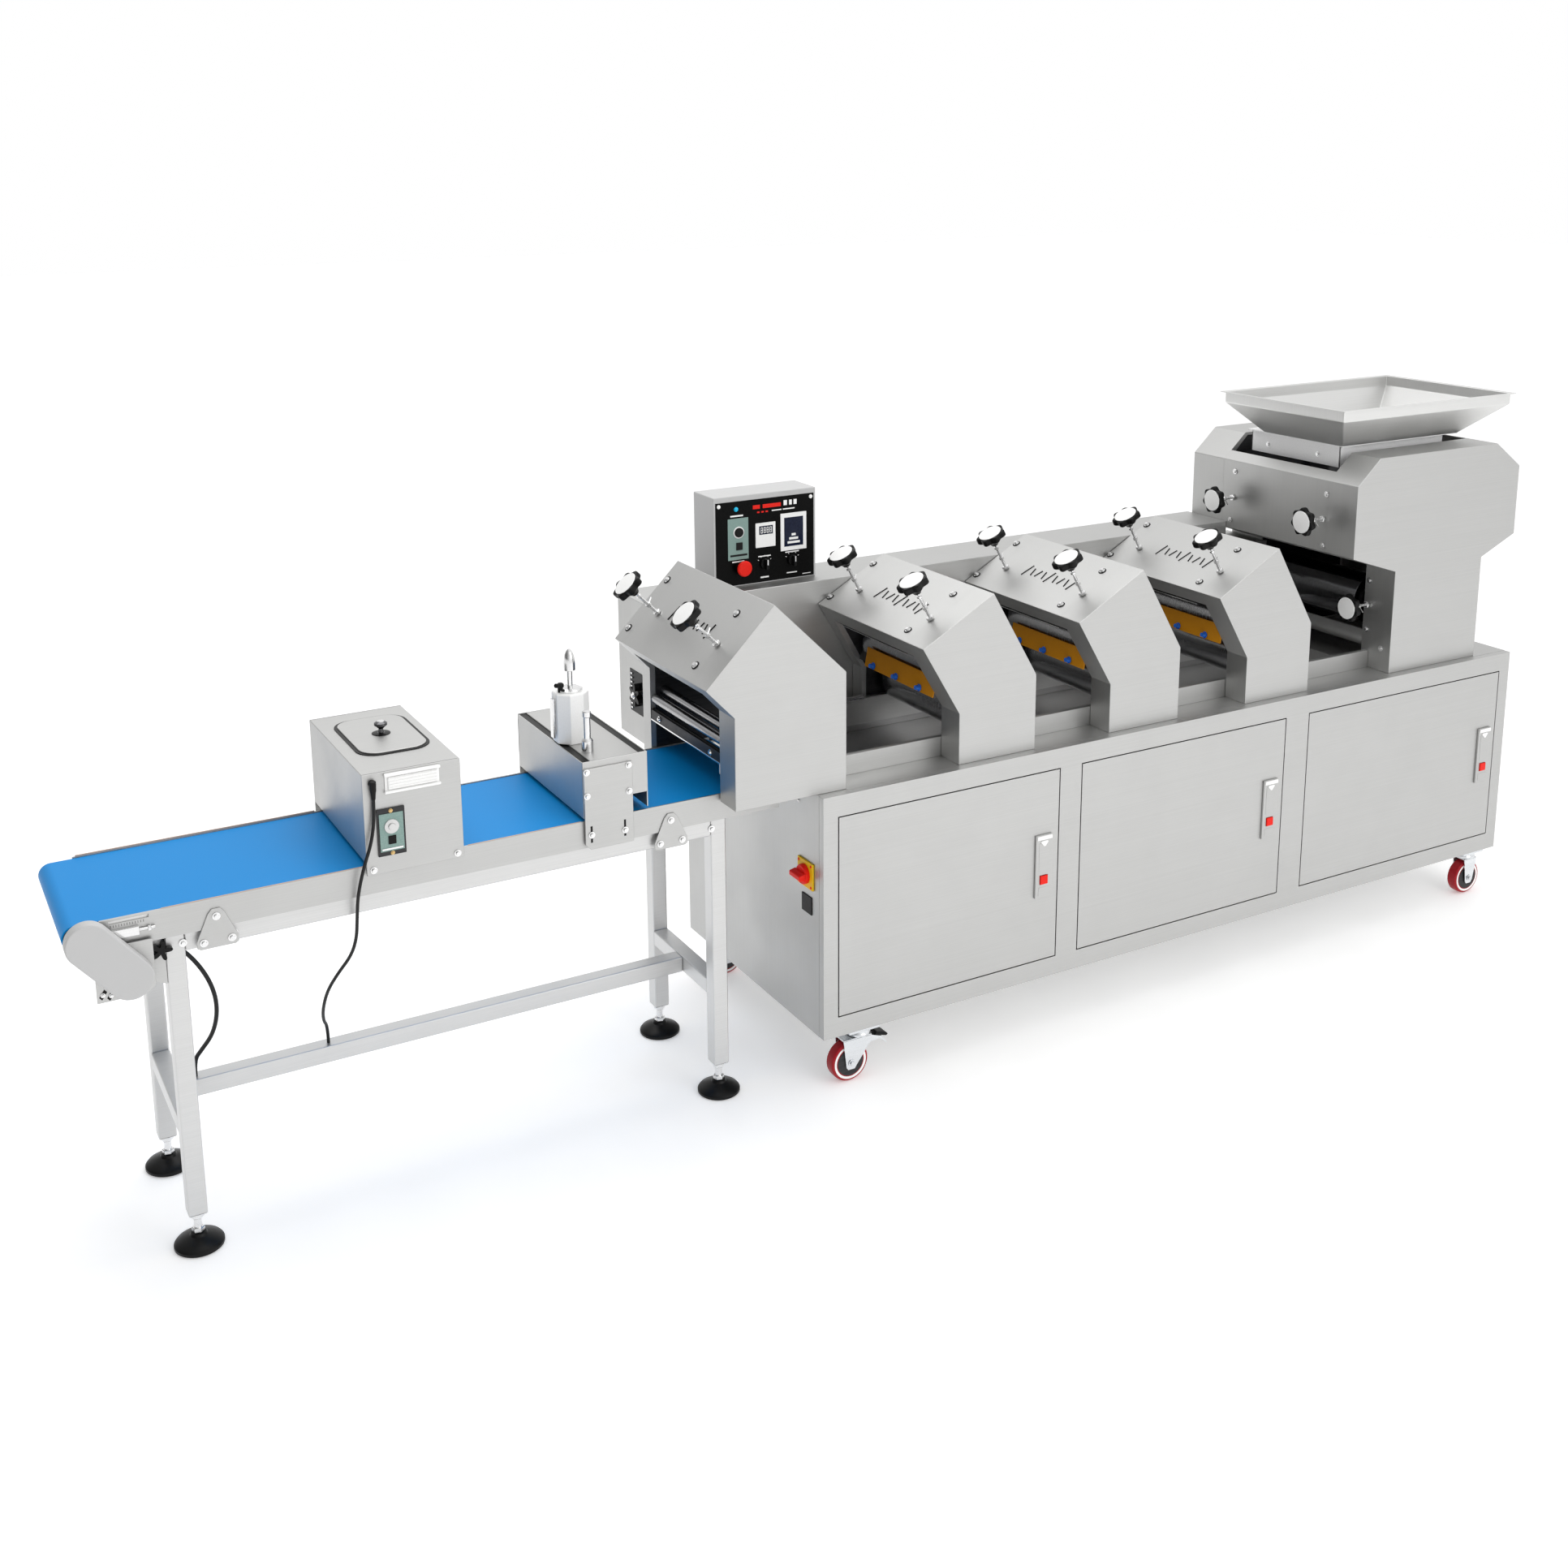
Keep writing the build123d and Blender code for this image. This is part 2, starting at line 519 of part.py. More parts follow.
with BuildPart() as hopper:
    step = SHEET + SEAM
    lip = (RIM_X0, RIM_X1, RIM_Y0, RIM_Y1)
    mouth = (FUNNEL_X0, FUNNEL_X1, FUNNEL_Y0, FUNNEL_Y1)
    throat = (THROAT_X0, THROAT_X1, THROAT_Y0, THROAT_Y1)
    levels = ((lip, lip, RIM_TOP, LIP_BOTTOM + SEAM), (lip, mouth, LIP_BOTTOM, FUNNEL_BOTTOM + SHEET),
              (throat, throat, FUNNEL_BOTTOM - SEAM, THROAT_BOTTOM))
    for top, bottom, z_top, z_bottom in levels:
        for pick in range(4):
            sides = []
            for x0, x1, y0, y1 in (top, bottom):
                sides.append(((x0, x0 + SHEET, y0, y1), (x1 - SHEET, x1, y0, y1),
                              (x0 + step, x1 - step, y0, y0 + SHEET),
                              (x0 + step, x1 - step, y1 - SHEET, y1))[pick])
            slanted_plate(sides[0], sides[1], z_top, z_bottom)
    rim_z = (RIM_TOP - SHEET, RIM_TOP)
    slab(RIM_X0 - RIM_FLANGE, RIM_X0 - SEAM, RIM_Y0 - RIM_FLANGE, RIM_Y1 + RIM_FLANGE, *rim_z)
    slab(RIM_X1 + SEAM, RIM_X1 + RIM_FLANGE, RIM_Y0 - RIM_FLANGE, RIM_Y1 + RIM_FLANGE, *rim_z)
    slab(RIM_X0, RIM_X1, RIM_Y0 - RIM_FLANGE, RIM_Y0 - SEAM, *rim_z)
    slab(RIM_X0, RIM_X1, RIM_Y1 + SEAM, RIM_Y1 + RIM_FLANGE, *rim_z)
    # adaptor ring between the funnel's mouth and the wider throat
    ring_z = (FUNNEL_BOTTOM, FUNNEL_BOTTOM + SHEET - SEAM)
    slab(FUNNEL_X0, THROAT_X0 + SHEET, FUNNEL_Y0, THROAT_Y1, *ring_z)
    slab(THROAT_X1 - SHEET, FUNNEL_X1, FUNNEL_Y0, THROAT_Y1, *ring_z)
    slab(THROAT_X0 + step, THROAT_X1 - step, FUNNEL_Y0, THROAT_Y0 + SHEET, *ring_z)
    slab(THROAT_X0 + step, THROAT_X1 - step, FUNNEL_Y1 - SHEET, THROAT_Y1, *ring_z)
save(hopper, "hopper")

# ======== bearings and the main drive inside the cabinet ========
with BuildPart() as drive_train:
    for x, z in [station.lower for station in ALL_STATIONS]:
        for y0, y1 in ((FRAME_FRONT + CLEAR, FRAME_FRONT + BLOCK_T), (FRAME_BACK - BLOCK_T, FRAME_BACK - CLEAR)):
            round_y(x, z, BEARING_R, y0, y1)
            round_y(x, z, SHAFT_R + FIT, y0, y1, mode=Mode.SUBTRACT)
    for x, z in ((FEED_X + 2 * FEED_R + 4, FEED_Z), (LOWER_X, LOWER_Z)):
        for y0, y1 in ((HEAD_FRAME_FRONT + CLEAR, HEAD_FRAME_FRONT + BLOCK_T),
                       (HEAD_FRAME_BACK - BLOCK_T, HEAD_FRAME_BACK - CLEAR)):
            round_y(HEAD_X + x, DECK + z, BEARING_R, y0, y1)
            round_y(HEAD_X + x, DECK + z, SHAFT_R + FIT, y0, y1, mode=Mode.SUBTRACT)
    motor_floor = CAB_BOTTOM + SHEET + CLEAR
    slab(960, 1120, 420, 580, motor_floor, 330)
    round_x(500, 240, 75, 1120 + SEAM, 1360)
    round_y(1040, 240, 30, 580 + SEAM, 660)
save(drive_train, "drive_train")

# ======== controls ========
with BuildPart() as control_box:
    ctrl_low = REAR_TOP + SEAM
    slab(CTRL_X0, CTRL_X1, CTRL_FRONT + SHEET + SEAM, CTRL_BACK, CTRL_TOP - SHEET, CTRL_TOP)
    slab(CTRL_X0, CTRL_X1, CTRL_FRONT + SHEET + SEAM, CTRL_BACK, ctrl_low, ctrl_low + SHEET)
    inner_z = (ctrl_low + SHEET + SEAM, CTRL_TOP - SHEET - SEAM)
    for wall_x in (CTRL_X0, CTRL_X1 - SHEET):
        slab(wall_x, wall_x + SHEET, CTRL_FRONT + SHEET + SEAM, CTRL_BACK, *inner_z)
    slab(CTRL_X0 + SHEET + SEAM, CTRL_X1 - SHEET - SEAM, CTRL_BACK - SHEET, CTRL_BACK, *inner_z)
    slab(CTRL_X0, CTRL_X1, CTRL_FRONT, CTRL_FRONT + SHEET, ctrl_low, CTRL_TOP)
save(control_box, "control_box")

STOP_X, STOP_Z = 92, 1146
STOP_TRAVEL = 4
DIAL_X, DIAL_Z = (158, 238), 1148
with BuildPart() as stop_button:
    round_y(STOP_X, STOP_Z, 11, CTRL_FRONT - STOP_TRAVEL - 10, CTRL_FRONT - STOP_TRAVEL - CLEAR)
    round_y(STOP_X, STOP_Z, 20, CTRL_FRONT - 24, CTRL_FRONT - STOP_TRAVEL - 10)
save(stop_button, "stop_button")
for label, x in zip(("speed_knob", "mode_knob"), DIAL_X):
    with BuildPart() as dial:
        round_y(x, DIAL_Z, 14, CTRL_FRONT - 8, CTRL_FRONT - CLEAR)
        slab(x - 4, x + 4, CTRL_FRONT - 20, CTRL_FRONT - 8, DIAL_Z - 14, DIAL_Z + 14)
    save(dial, label)

MAINS_Y, MAINS_Z = 77, 527
with BuildPart() as mains_handle:
    round_x(MAINS_Y, MAINS_Z, 24, -17, -5 - CLEAR)
    slab(-34, -17, MAINS_Y - 7, MAINS_Y + 7, MAINS_Z - 26, MAINS_Z + 26)
save(mains_handle, "mains_handle")

# ======== casters ========
FORK_TOP = CAB_BOTTOM - CLEAR


def fork(wheel_x, y, swivel_x):
    """Caster fork: top plate or swivel head, crown and two legs beside the wheel."""
    leg_in = WHEEL_W / 2 + 2
    slab(min(wheel_x, swivel_x) - 22, max(wheel_x, swivel_x) + 22, y - leg_in - 4, y + leg_in + 4, 106, 112)
    for y0, y1 in ((y - leg_in - 4, y - leg_in), (y + leg_in, y + leg_in + 4)):
        slab(wheel_x - 20, wheel_x + 20, y0, y1, 38, 106)
    round_z(swivel_x, y, 28, 112, FORK_TOP - 6)
    slab(swivel_x - 42, swivel_x + 42, y - 32, y + 32, FORK_TOP - 6, FORK_TOP)


FRONT_Y, REAR_Y = CASTER_IN_Y, CAB_DEPTH - CASTER_IN_Y
LEFT_WHEEL_X, RIGHT_WHEEL_X = CASTER_IN_X, CAB_LENGTH - CASTER_IN_X
SWIVEL_X = LEFT_WHEEL_X + TRAIL
with BuildPart() as caster_forks:
    for y in (FRONT_Y, REAR_Y):
        fork(RIGHT_WHEEL_X, y, RIGHT_WHEEL_X)
        slab(SWIVEL_X - 42, SWIVEL_X + 42, y - 32, y + 32, FORK_TOP - 6, FORK_TOP)
save(caster_forks, "caster_mounts")

for label, y in (("front", FRONT_Y), ("rear", REAR_Y)):
    with BuildPart() as swivel_fork:
        leg_in = WHEEL_W / 2 + 2
        slab(LEFT_WHEEL_X - 22, SWIVEL_X + 26, y - leg_in - 4, y + leg_in + 4, 106, 112)
        for y0, y1 in ((y - leg_in - 4, y - leg_in), (y + leg_in, y + leg_in + 4)):
            slab(LEFT_WHEEL_X - 20, LEFT_WHEEL_X + 20, y0, y1, 38, 106)
        round_z(SWIVEL_X, y, 28, 112, FORK_TOP - 6 - CLEAR)
        slab(SWIVEL_X + 26, SWIVEL_X + 78, y - 14, y + 14, 82, 88)
        slab(SWIVEL_X + 20, SWIVEL_X + 26, y - 14, y + 14, 82, 106)
    save(swivel_fork, f"{label}_swivel_fork")

for label, x, y in (("front_left", LEFT_WHEEL_X, FRONT_Y), ("rear_left", LEFT_WHEEL_X, REAR_Y),
                    ("front_right", RIGHT_WHEEL_X, FRONT_Y), ("rear_right", RIGHT_WHEEL_X, REAR_Y)):
    with BuildPart() as wheel:
        round_y(x, WHEEL_R, WHEEL_R, y - WHEEL_W / 2, y + WHEEL_W / 2)
        round_y(x, WHEEL_R, 8, y - WHEEL_W / 2 - 1.5, y + WHEEL_W / 2 + 1.5)
    save(wheel, f"{label}_wheel")

# ======== conveyor ========
HALF = TUBE / 2
BEAM_X = (LEG_X[0] + HALF + SEAM, LEG_X[1] - HALF - SEAM)
with BuildPart() as conveyor_frame:
    for x in LEG_X:
        for y in LEG_Y:
            slab(x - HALF, x + HALF, y - HALF, y + HALF, LEG_BOTTOM, SIDE_BOTTOM - CLEAR)
        across = (LEG_Y[0] + HALF + SEAM, LEG_Y[1] - HALF - SEAM)
        slab(x - HALF, x + HALF, *across, STRETCHER_TOP - TUBE, STRETCHER_TOP)
        slab(x - HALF, x + HALF, *across, BEAM_BOTTOM, SIDE_BOTTOM - CLEAR)
    for y in LEG_Y:
        slab(*BEAM_X, y - HALF, y + HALF, BEAM_BOTTOM, SIDE_BOTTOM - CLEAR)
    middle_y = sum(LEG_Y) / 2
    slab(*BEAM_X, middle_y - HALF, middle_y + HALF, STRETCHER_TOP - TUBE, STRETCHER_TOP)
save(conveyor_frame, "conveyor_frame")

with BuildPart() as conveyor_bed:
    side_right = BELT_RIGHT - 10
    for y0 in (SIDE_Y0, SIDE_Y1 - SIDE_T):
        slab(SIDE_LEFT, side_right, y0, y0 + SIDE_T, SIDE_BOTTOM, BELT_TOP + 2)
    inner_belt_r = BELT_R - BELT_T - CLEAR
    left_pulley = -BELT_REACH + BELT_R
    right_pulley = BELT_RIGHT - BELT_R
    pulley_z = BELT_TOP - BELT_R
    for x in (left_pulley, right_pulley):
        round_y(x, pulley_z, inner_belt_r, BELT_Y0, BELT_Y1)
    slab(left_pulley + 28, right_pulley - 28, BELT_Y0, BELT_Y1, BELT_TOP - 8, BELT_TOP - BELT_T - CLEAR)
    for x in (-1300, -700, -250):                          # ties inside the loop of the belt
        slab(x - 15, x + 15, SIDE_Y0 + SIDE_T + SEAM, SIDE_Y1 - SIDE_T - SEAM, pulley_z - 5, pulley_z + 5)
save(conveyor_bed, "conveyor_bed")

with BuildPart() as conveyor_belt:
    run = right_pulley - left_pulley
    belt_plane = Plane.XZ.offset(-(CAB_Y + BELT_Y1))
    with BuildSketch(belt_plane):
        with Locations((CAB_X + (left_pulley + right_pulley) / 2, pulley_z)):
            SlotCenterToCenter(run, 2 * BELT_R)
            SlotCenterToCenter(run, 2 * (BELT_R - BELT_T), mode=Mode.SUBTRACT)
    extrude(amount=BELT_Y1 - BELT_Y0)
save(conveyor_belt, "conveyor_belt")

COVER_A, COVER_B, COVER_R = (-1558, 722), (-1487, 636), 42
with BuildPart() as belt_drive:
    cover_run = hypot(COVER_B[0] - COVER_A[0], COVER_B[1] - COVER_A[1])
    cover_dir = ((COVER_B[0] - COVER_A[0]) / cover_run, (COVER_B[1] - COVER_A[1]) / cover_run)
    cover_mid = ((COVER_A[0] + COVER_B[0]) / 2, (COVER_A[1] + COVER_B[1]) / 2)
    cover_plane = Plane(origin=(CAB_X + cover_mid[0], CAB_Y + 96, cover_mid[1]),
                        x_dir=(cover_dir[0], 0, cover_dir[1]), z_dir=(0, -1, 0))
    with BuildSketch(cover_plane):
        SlotCenterToCenter(cover_run, 2 * COVER_R)
    extrude(amount=24)
    slab(-1549, -1455, 96 + SEAM, 99, 590, 676)
    slab(-1530, -1442, 112, 196, 596, 676)
    round_y(-1487, 636, 36, 196 + SEAM, 330)
    slab(-1450.7, -1440, 202, 230, 622, 650)
save(belt_drive, "belt_drive")

with BuildPart() as levelling_feet:
    for x in LEG_X:
        for y in LEG_Y:
            round_z(x, y, FOOT_R, 0, 10)
            with BuildSketch(Plane.XY.offset(10)):
                with Locations((CAB_X + x, CAB_Y + y)):
                    Circle(FOOT_R)
            extrude(amount=14, taper=52)
            round_z(x, y, 8, 24, LEG_BOTTOM - CLEAR)
            round_z(x, y, 13, 60, LEG_BOTTOM - CLEAR)
save(levelling_feet, "levelling_feet")

# ======== flour duster ========
with BuildPart() as duster_body:
    slab(DUST_X0, DUST_X1, DUST_Y0, DUST_Y0 + SHEET, DUST_SKIRT, DUST_TOP)
    slab(DUST_X0, DUST_X1, DUST_Y1 - SHEET, DUST_Y1, DUST_SKIRT, DUST_TOP)
    dust_in = (DUST_Y0 + SHEET + SEAM, DUST_Y1 - SHEET - SEAM)
    slab(DUST_X0, DUST_X0 + SHEET, *dust_in, PASS_Z, DUST_TOP)
    slab(DUST_X1 - SHEET, DUST_X1, *dust_in, PASS_Z, DUST_TOP)
    top_x = (DUST_X0 + SHEET + SEAM, DUST_X1 - SHEET - SEAM)
    hole_x = (LID_X - LID_L / 2 + 12, LID_X + LID_L / 2 - 12)
    hole_y = (LID_Y - LID_W / 2 + 12, LID_Y + LID_W / 2 - 12)
    top_z = (DUST_TOP - SHEET, DUST_TOP)
    slab(*top_x, dust_in[0], hole_y[0], *top_z)
    slab(*top_x, hole_y[1], dust_in[1], *top_z)
    slab(top_x[0], hole_x[0], hole_y[0] + SEAM, hole_y[1] - SEAM, *top_z)
    slab(hole_x[1], top_x[1], hole_y[0] + SEAM, hole_y[1] - SEAM, *top_z)
    slab(*top_x, *dust_in, 778, 780)                       # sieve tray
    slab(-993, -935, DUST_Y0 - 4, DUST_Y0 - SEAM, 771, 872)   # controller plate
    slab(-972, -858, DUST_Y0 - 5, DUST_Y0 - SEAM, 904, 946)   # louvred grip plate
    slab(-1006, -990, DUST_Y0 - 14, DUST_Y0 - SEAM, 915, 938)   # cable gland
    for x in (-1000, -830):
        slab(x - 10, x + 10, DUST_Y0 + SHEET + SEAM, SIDE_Y0 - SEAM, 736, 748)
        slab(x - 10, x + 10, SIDE_Y1 + SEAM, DUST_Y1 - SHEET - SEAM, 736, 748)
save(duster_body, "duster_body")

with BuildPart() as duster_lid:
    with BuildSketch(Plane.XY.offset(DUST_TOP + CLEAR)):
        with Locations((CAB_X + LID_X, CAB_Y + LID_Y)):
            RectangleRounded(LID_L, LID_W, LID_CORNER)
    extrude(amount=3)
    round_z(LID_X, LID_Y, 6, DUST_TOP + CLEAR + 3, DUST_TOP + 18)
    round_z(LID_X, LID_Y, 14, DUST_TOP + 18, DUST_TOP + 30)
save(duster_lid, "duster_lid")

# ======== cutter ========
with BuildPart() as cutter_housing:
    cut_in = (CUT_Y0 + SHEET + SEAM, CUT_Y1 - SHEET - SEAM)
    slab(CUT_X0, CUT_X1, CUT_Y0, CUT_Y0 + SHEET, 795, CUT_TOP)
    slab(CUT_X0, CUT_X1, CUT_Y1 - SHEET, CUT_Y1, 795, CUT_TOP)
    slab(CUT_X0, CUT_X0 + SHEET, *cut_in, PASS_Z, CUT_TOP)
    slab(CUT_X1 - SHEET, CUT_X1, *cut_in, PASS_Z, CUT_TOP)
    slab(CUT_X0 + CUT_SLOT, RAM_X - 9, *cut_in, CUT_TOP - SHEET, CUT_TOP)
    slab(RAM_X + 9, CUT_X1 - CUT_SLOT, *cut_in, CUT_TOP - SHEET, CUT_TOP)
    slab(RAM_X - 9 + SEAM, RAM_X + 9 - SEAM, cut_in[0], RAM_Y - 9, CUT_TOP - SHEET, CUT_TOP)
    slab(RAM_X - 9 + SEAM, RAM_X + 9 - SEAM, RAM_Y + 9, cut_in[1], CUT_TOP - SHEET, CUT_TOP)
    slab(CUT_X0 + 1, CUT_X0 + 115, CUT_Y0 - 4, CUT_Y0 - SEAM, 688, 873)
    slab(CUT_X0 + 1, CUT_X0 + 115, CUT_Y1 + SEAM, CUT_Y1 + 4, 733, 873)
    for x in (CUT_X0 + 20, CUT_X0 + 96):
        slab(x - 8, x + 8, CUT_Y0 + SEAM, SIDE_Y0 - SEAM, 715, 731)
        slab(x - 8, x + 8, SIDE_Y1 + SEAM, CUT_Y1, 736, 748)
    with BuildSketch(Plane.XY.offset(CUT_TOP + SEAM)):
        with Locations((CAB_X + RAM_X, CAB_Y + RAM_Y)):
            RegularPolygon(TOWER_FLAT, 8, major_radius=False)
            Circle(RAM_ROD_R + CLEAR, mode=Mode.SUBTRACT)
    extrude(amount=TOWER_TOP - CUT_TOP - SEAM)
    round_z(RAM_X, 168, 8, CUT_TOP + SEAM, 968)
    round_z(RAM_X, 168, 11, 968 + SEAM, 980)
save(cutter_housing, "cutter_housing")

with BuildPart() as cutter_ram:
    slab(RAM_X - 4, RAM_X + 4, BELT_Y0 + 8, BELT_Y1 - 8, BELT_TOP + 3 + RAM_STROKE, 868)
    round_z(RAM_X, RAM_Y, RAM_ROD_R, 868, 1050)
    round_z(RAM_X, RAM_Y, 13, 1050, 1098)
save(cutter_ram, "cutter_ram")


# ======== cables ========
def cable(points, diameter):
    """A tube of straight runs and tangent arcs, each as large as its two runs allow."""
    path = [Vector(CAB_X + x, CAB_Y + y, z) for x, y, z in points]
    radii = []
    for a, b, c in zip(path, path[1:], path[2:]):
        turn = radians((b - a).get_angle(c - b))
        shorter = min((b - a).length, (c - b).length)
        radii.append(0.45 * shorter / (sin(turn / 2) / cos(turn / 2)))
    print("cable radii in diameters:", [round(radius / diameter, 1) for radius in radii])
    with BuildLine() as route:
        FilletPolyline(*path, radius=radii)
    length = sum(edge.length for edge in route.edges())
    with BuildSketch(Plane(origin=path[0], z_dir=path[1] - path[0])) as section:
        Circle(diameter / 2)
    sweep(section.sketch, path=route.wires()[0])
    return length


DUSTER_CABLE_D = 7
MOTOR_CABLE_D = 9
DUSTER_CABLE = [(-998, 93, 915), (-998, 93, 866), (-1008, 87, 812), (-1028, 88, 758), (-1042, 92, 700),
                (-1044, 101, 648), (-1044, 114, 600), (-1052, 134, 554), (-1076, 160, 508), (-1093, 190, 460),
                (-1097, 224, 404), (-1089, 260, 358), (-1072, 300, 324), (-1072, 300, STRETCHER_TOP)]
MOTOR_CABLE = [(-1440, 216, 636), (-1405, 216, 636), (-1372, 213, 614), (-1344, 214, 576), (-1322, 218, 530),
               (-1310, 228, 482), (-1309, 242, 434), (-1318, 262, 386), (-1338, 286, 346), (-1352, 300, 320),
               (-1352, 300, STRETCHER_TOP)]
for label, points, diameter in (("duster_cable", DUSTER_CABLE, DUSTER_CABLE_D),
                                ("motor_cable", MOTOR_CABLE, MOTOR_CABLE_D)):
    with BuildPart() as cord:
        cord_length = cable(points, diameter)
    section = pi * diameter ** 2 / 4
    print(label, "length", round(cord_length), "volume ratio", round(cord.part.volume / (section * cord_length), 4))
    save(cord, label)

print(len(parts_written), "sub-parts written")
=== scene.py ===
# %% [markdown]
# A continuous dough sheeter: a long wheeled cabinet with a hopper head, three slanted roller
# stations and an end station, then a belt conveyor that carries a flour duster and a cutter.
# The engineering model comes in first as a fixed frame. Every piece made here is placed
# against it and rides on one of its bodies, so that all of them move together.

# %% Load the frame and find the cabinet's corner
import bpy
import bmesh
import json
from math import atan2, cos, hypot, pi, radians, sin
from mathutils import Matrix, Vector

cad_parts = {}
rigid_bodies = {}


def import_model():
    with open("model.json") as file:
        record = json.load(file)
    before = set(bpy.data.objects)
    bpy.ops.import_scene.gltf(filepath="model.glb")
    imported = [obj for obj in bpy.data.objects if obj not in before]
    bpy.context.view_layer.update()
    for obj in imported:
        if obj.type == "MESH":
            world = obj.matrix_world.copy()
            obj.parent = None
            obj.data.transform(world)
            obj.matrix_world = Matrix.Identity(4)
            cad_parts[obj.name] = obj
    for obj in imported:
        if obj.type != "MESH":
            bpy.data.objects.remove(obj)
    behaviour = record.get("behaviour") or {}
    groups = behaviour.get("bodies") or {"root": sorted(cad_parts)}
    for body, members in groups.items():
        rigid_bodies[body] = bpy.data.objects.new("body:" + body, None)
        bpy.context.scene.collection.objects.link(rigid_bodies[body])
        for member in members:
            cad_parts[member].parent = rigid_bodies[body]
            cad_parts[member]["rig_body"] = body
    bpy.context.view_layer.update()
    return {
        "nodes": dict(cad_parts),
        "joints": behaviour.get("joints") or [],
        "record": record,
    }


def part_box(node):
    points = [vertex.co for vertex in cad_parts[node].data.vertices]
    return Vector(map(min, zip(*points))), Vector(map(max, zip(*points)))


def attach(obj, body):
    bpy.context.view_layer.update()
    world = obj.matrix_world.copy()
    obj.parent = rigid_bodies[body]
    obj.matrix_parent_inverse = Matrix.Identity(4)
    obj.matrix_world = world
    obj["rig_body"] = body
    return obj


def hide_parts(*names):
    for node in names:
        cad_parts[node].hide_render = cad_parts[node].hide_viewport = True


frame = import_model()
NODES = frame["nodes"]
MM = 0.001
CORNER = Vector((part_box("transfer_trough")[0].x - 60 * MM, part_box("cabinet_body")[1].y - 703 * MM, 0))


def at(x, y, z):
    """A point given in millimetres from the cabinet's front left corner on the floor."""
    return Vector((CORNER.x + x * MM, CORNER.y + y * MM, z * MM))


print("cabinet corner at", [round(v, 4) for v in CORNER])

# %% [markdown]
# Sky, finishes and repeated pieces are all built from node trees. A tree can be written with
# one line for every node, setting and wire. Here one helper does all three, so that each tree
# below reads as a short list of steps.

# %% A helper for node trees


def add(tree, kind, inputs=None, **settings):
    """Adds a node. An input takes a value, the output it is wired to, or a list of outputs."""
    made = tree.nodes.new(kind)
    for name, value in settings.items():
        setattr(made, name, value)
    for socket, value in (inputs or {}).items():
        if isinstance(value, (list, bpy.types.NodeSocket)):
            for source in value if isinstance(value, list) else [value]:
                tree.links.new(source, made.inputs[socket])
        else:
            made.inputs[socket].default_value = value
    return made


print("node helper ready")

# %% [markdown]
# The camera stands some three metres out in front of the conveyor's end, above the machine, and
# is turned about thirty degrees towards the hopper. That shows the front, the left ends and the
# tops in one view. It is a plain camera with a small downward shift and everything in focus.

# %% Camera
lens = bpy.data.cameras.new("view")
lens.sensor_width = 36
lens.lens = 40.16
lens.shift_y = -0.1636
lens.clip_end = 60
camera = bpy.data.objects.new("view", lens)
camera.location = at(-1895.7, -3218.7, 2186.4)
camera.rotation_euler = (radians(77.595), radians(0.38), radians(-29.278))
bpy.context.collection.objects.link(camera)
bpy.context.scene.camera = camera
bpy.context.scene.view_settings.view_transform = "Standard"
print("camera at", [round(v, 3) for v in camera.location])

# %% [markdown]
# A white studio: a pale floor that runs out of sight, a white sky, a large soft light overhead
# towards the back and a second one in front on the right. Brushed steel shows mostly what it
# reflects, so the sky is much darker on the left. That is what tells one side of a sheet metal
# box from the next.

# %% Studio
world = bpy.data.worlds.new("studio")
bpy.context.scene.world = world
world.use_nodes = True
sky = world.node_tree
sky.nodes.clear()
sky_place = add(sky, "ShaderNodeTexCoord")
sky_split = add(sky, "ShaderNodeSeparateXYZ", {0: sky_place.outputs["Generated"]})
sky_side = add(sky, "ShaderNodeMapRange", {"Value": sky_split.outputs["X"], "From Min": -0.95,
                                           "From Max": -0.05, "To Min": 0.16, "To Max": 1.0})
sky_light = add(sky, "ShaderNodeBackground", {"Color": sky_side.outputs["Result"], "Strength": 1.0})
add(sky, "ShaderNodeOutputWorld", {"Surface": sky_light.outputs[0]})


def softbox(name, place, target, size, watts):
    """A square soft light aimed at a point."""
    lamp = bpy.data.lights.new(name, "AREA")
    lamp.size = size
    lamp.energy = watts
    obj = bpy.data.objects.new(name, lamp)
    obj.location = place
    obj.rotation_euler = (Vector(target) - Vector(place)).to_track_quat("-Z", "Y").to_euler()
    bpy.context.collection.objects.link(obj)


softbox("overhead", (-0.5, 0.8, 4.2), (0, 0, 0.8), 3.2, 60)
softbox("front", (1.6, -4.2, 2.6), (0.4, 0, 0.7), 2.6, 40)

# %% [markdown]
# Shader groups hold the effects that several finishes share. Brushed grain is noise drawn out
# along the sheet: along X on most faces, and upright on faces that look along X. Handling
# marks are large soft smudges that change the gloss. Moulded skin is the fine orange peel of
# plastic and paint.

# %% Shared shader effects


def shader_group(name, inputs, outputs):
    """An empty node group with its sockets."""
    group = bpy.data.node_groups.new(name, "ShaderNodeTree")
    for label, kind, value in inputs:
        socket = group.interface.new_socket(label, in_out="INPUT", socket_type=kind)
        socket.default_value = value
    for label in outputs:
        group.interface.new_socket(label, in_out="OUTPUT", socket_type="NodeSocketFloat")
    return group, group.nodes.new("NodeGroupInput"), group.nodes.new("NodeGroupOutput")


def give(group, end, **sockets):
    """Wires the group's results to its output node."""
    for name, socket in sockets.items():
        group.links.new(socket, end.inputs[name])


def scaled_noise(group, place, stretch, detail, roughness=0.55):
    """Noise on object coordinates that are first multiplied by a stretch."""
    by = add(group, "ShaderNodeVectorMath", {0: place, 1: stretch}, operation="MULTIPLY")
    noise = add(group, "ShaderNodeTexNoise", {"Vector": by.outputs[0], "Scale": 1.0, "Detail": detail,
                                              "Roughness": roughness})
    return noise.outputs["Fac"]


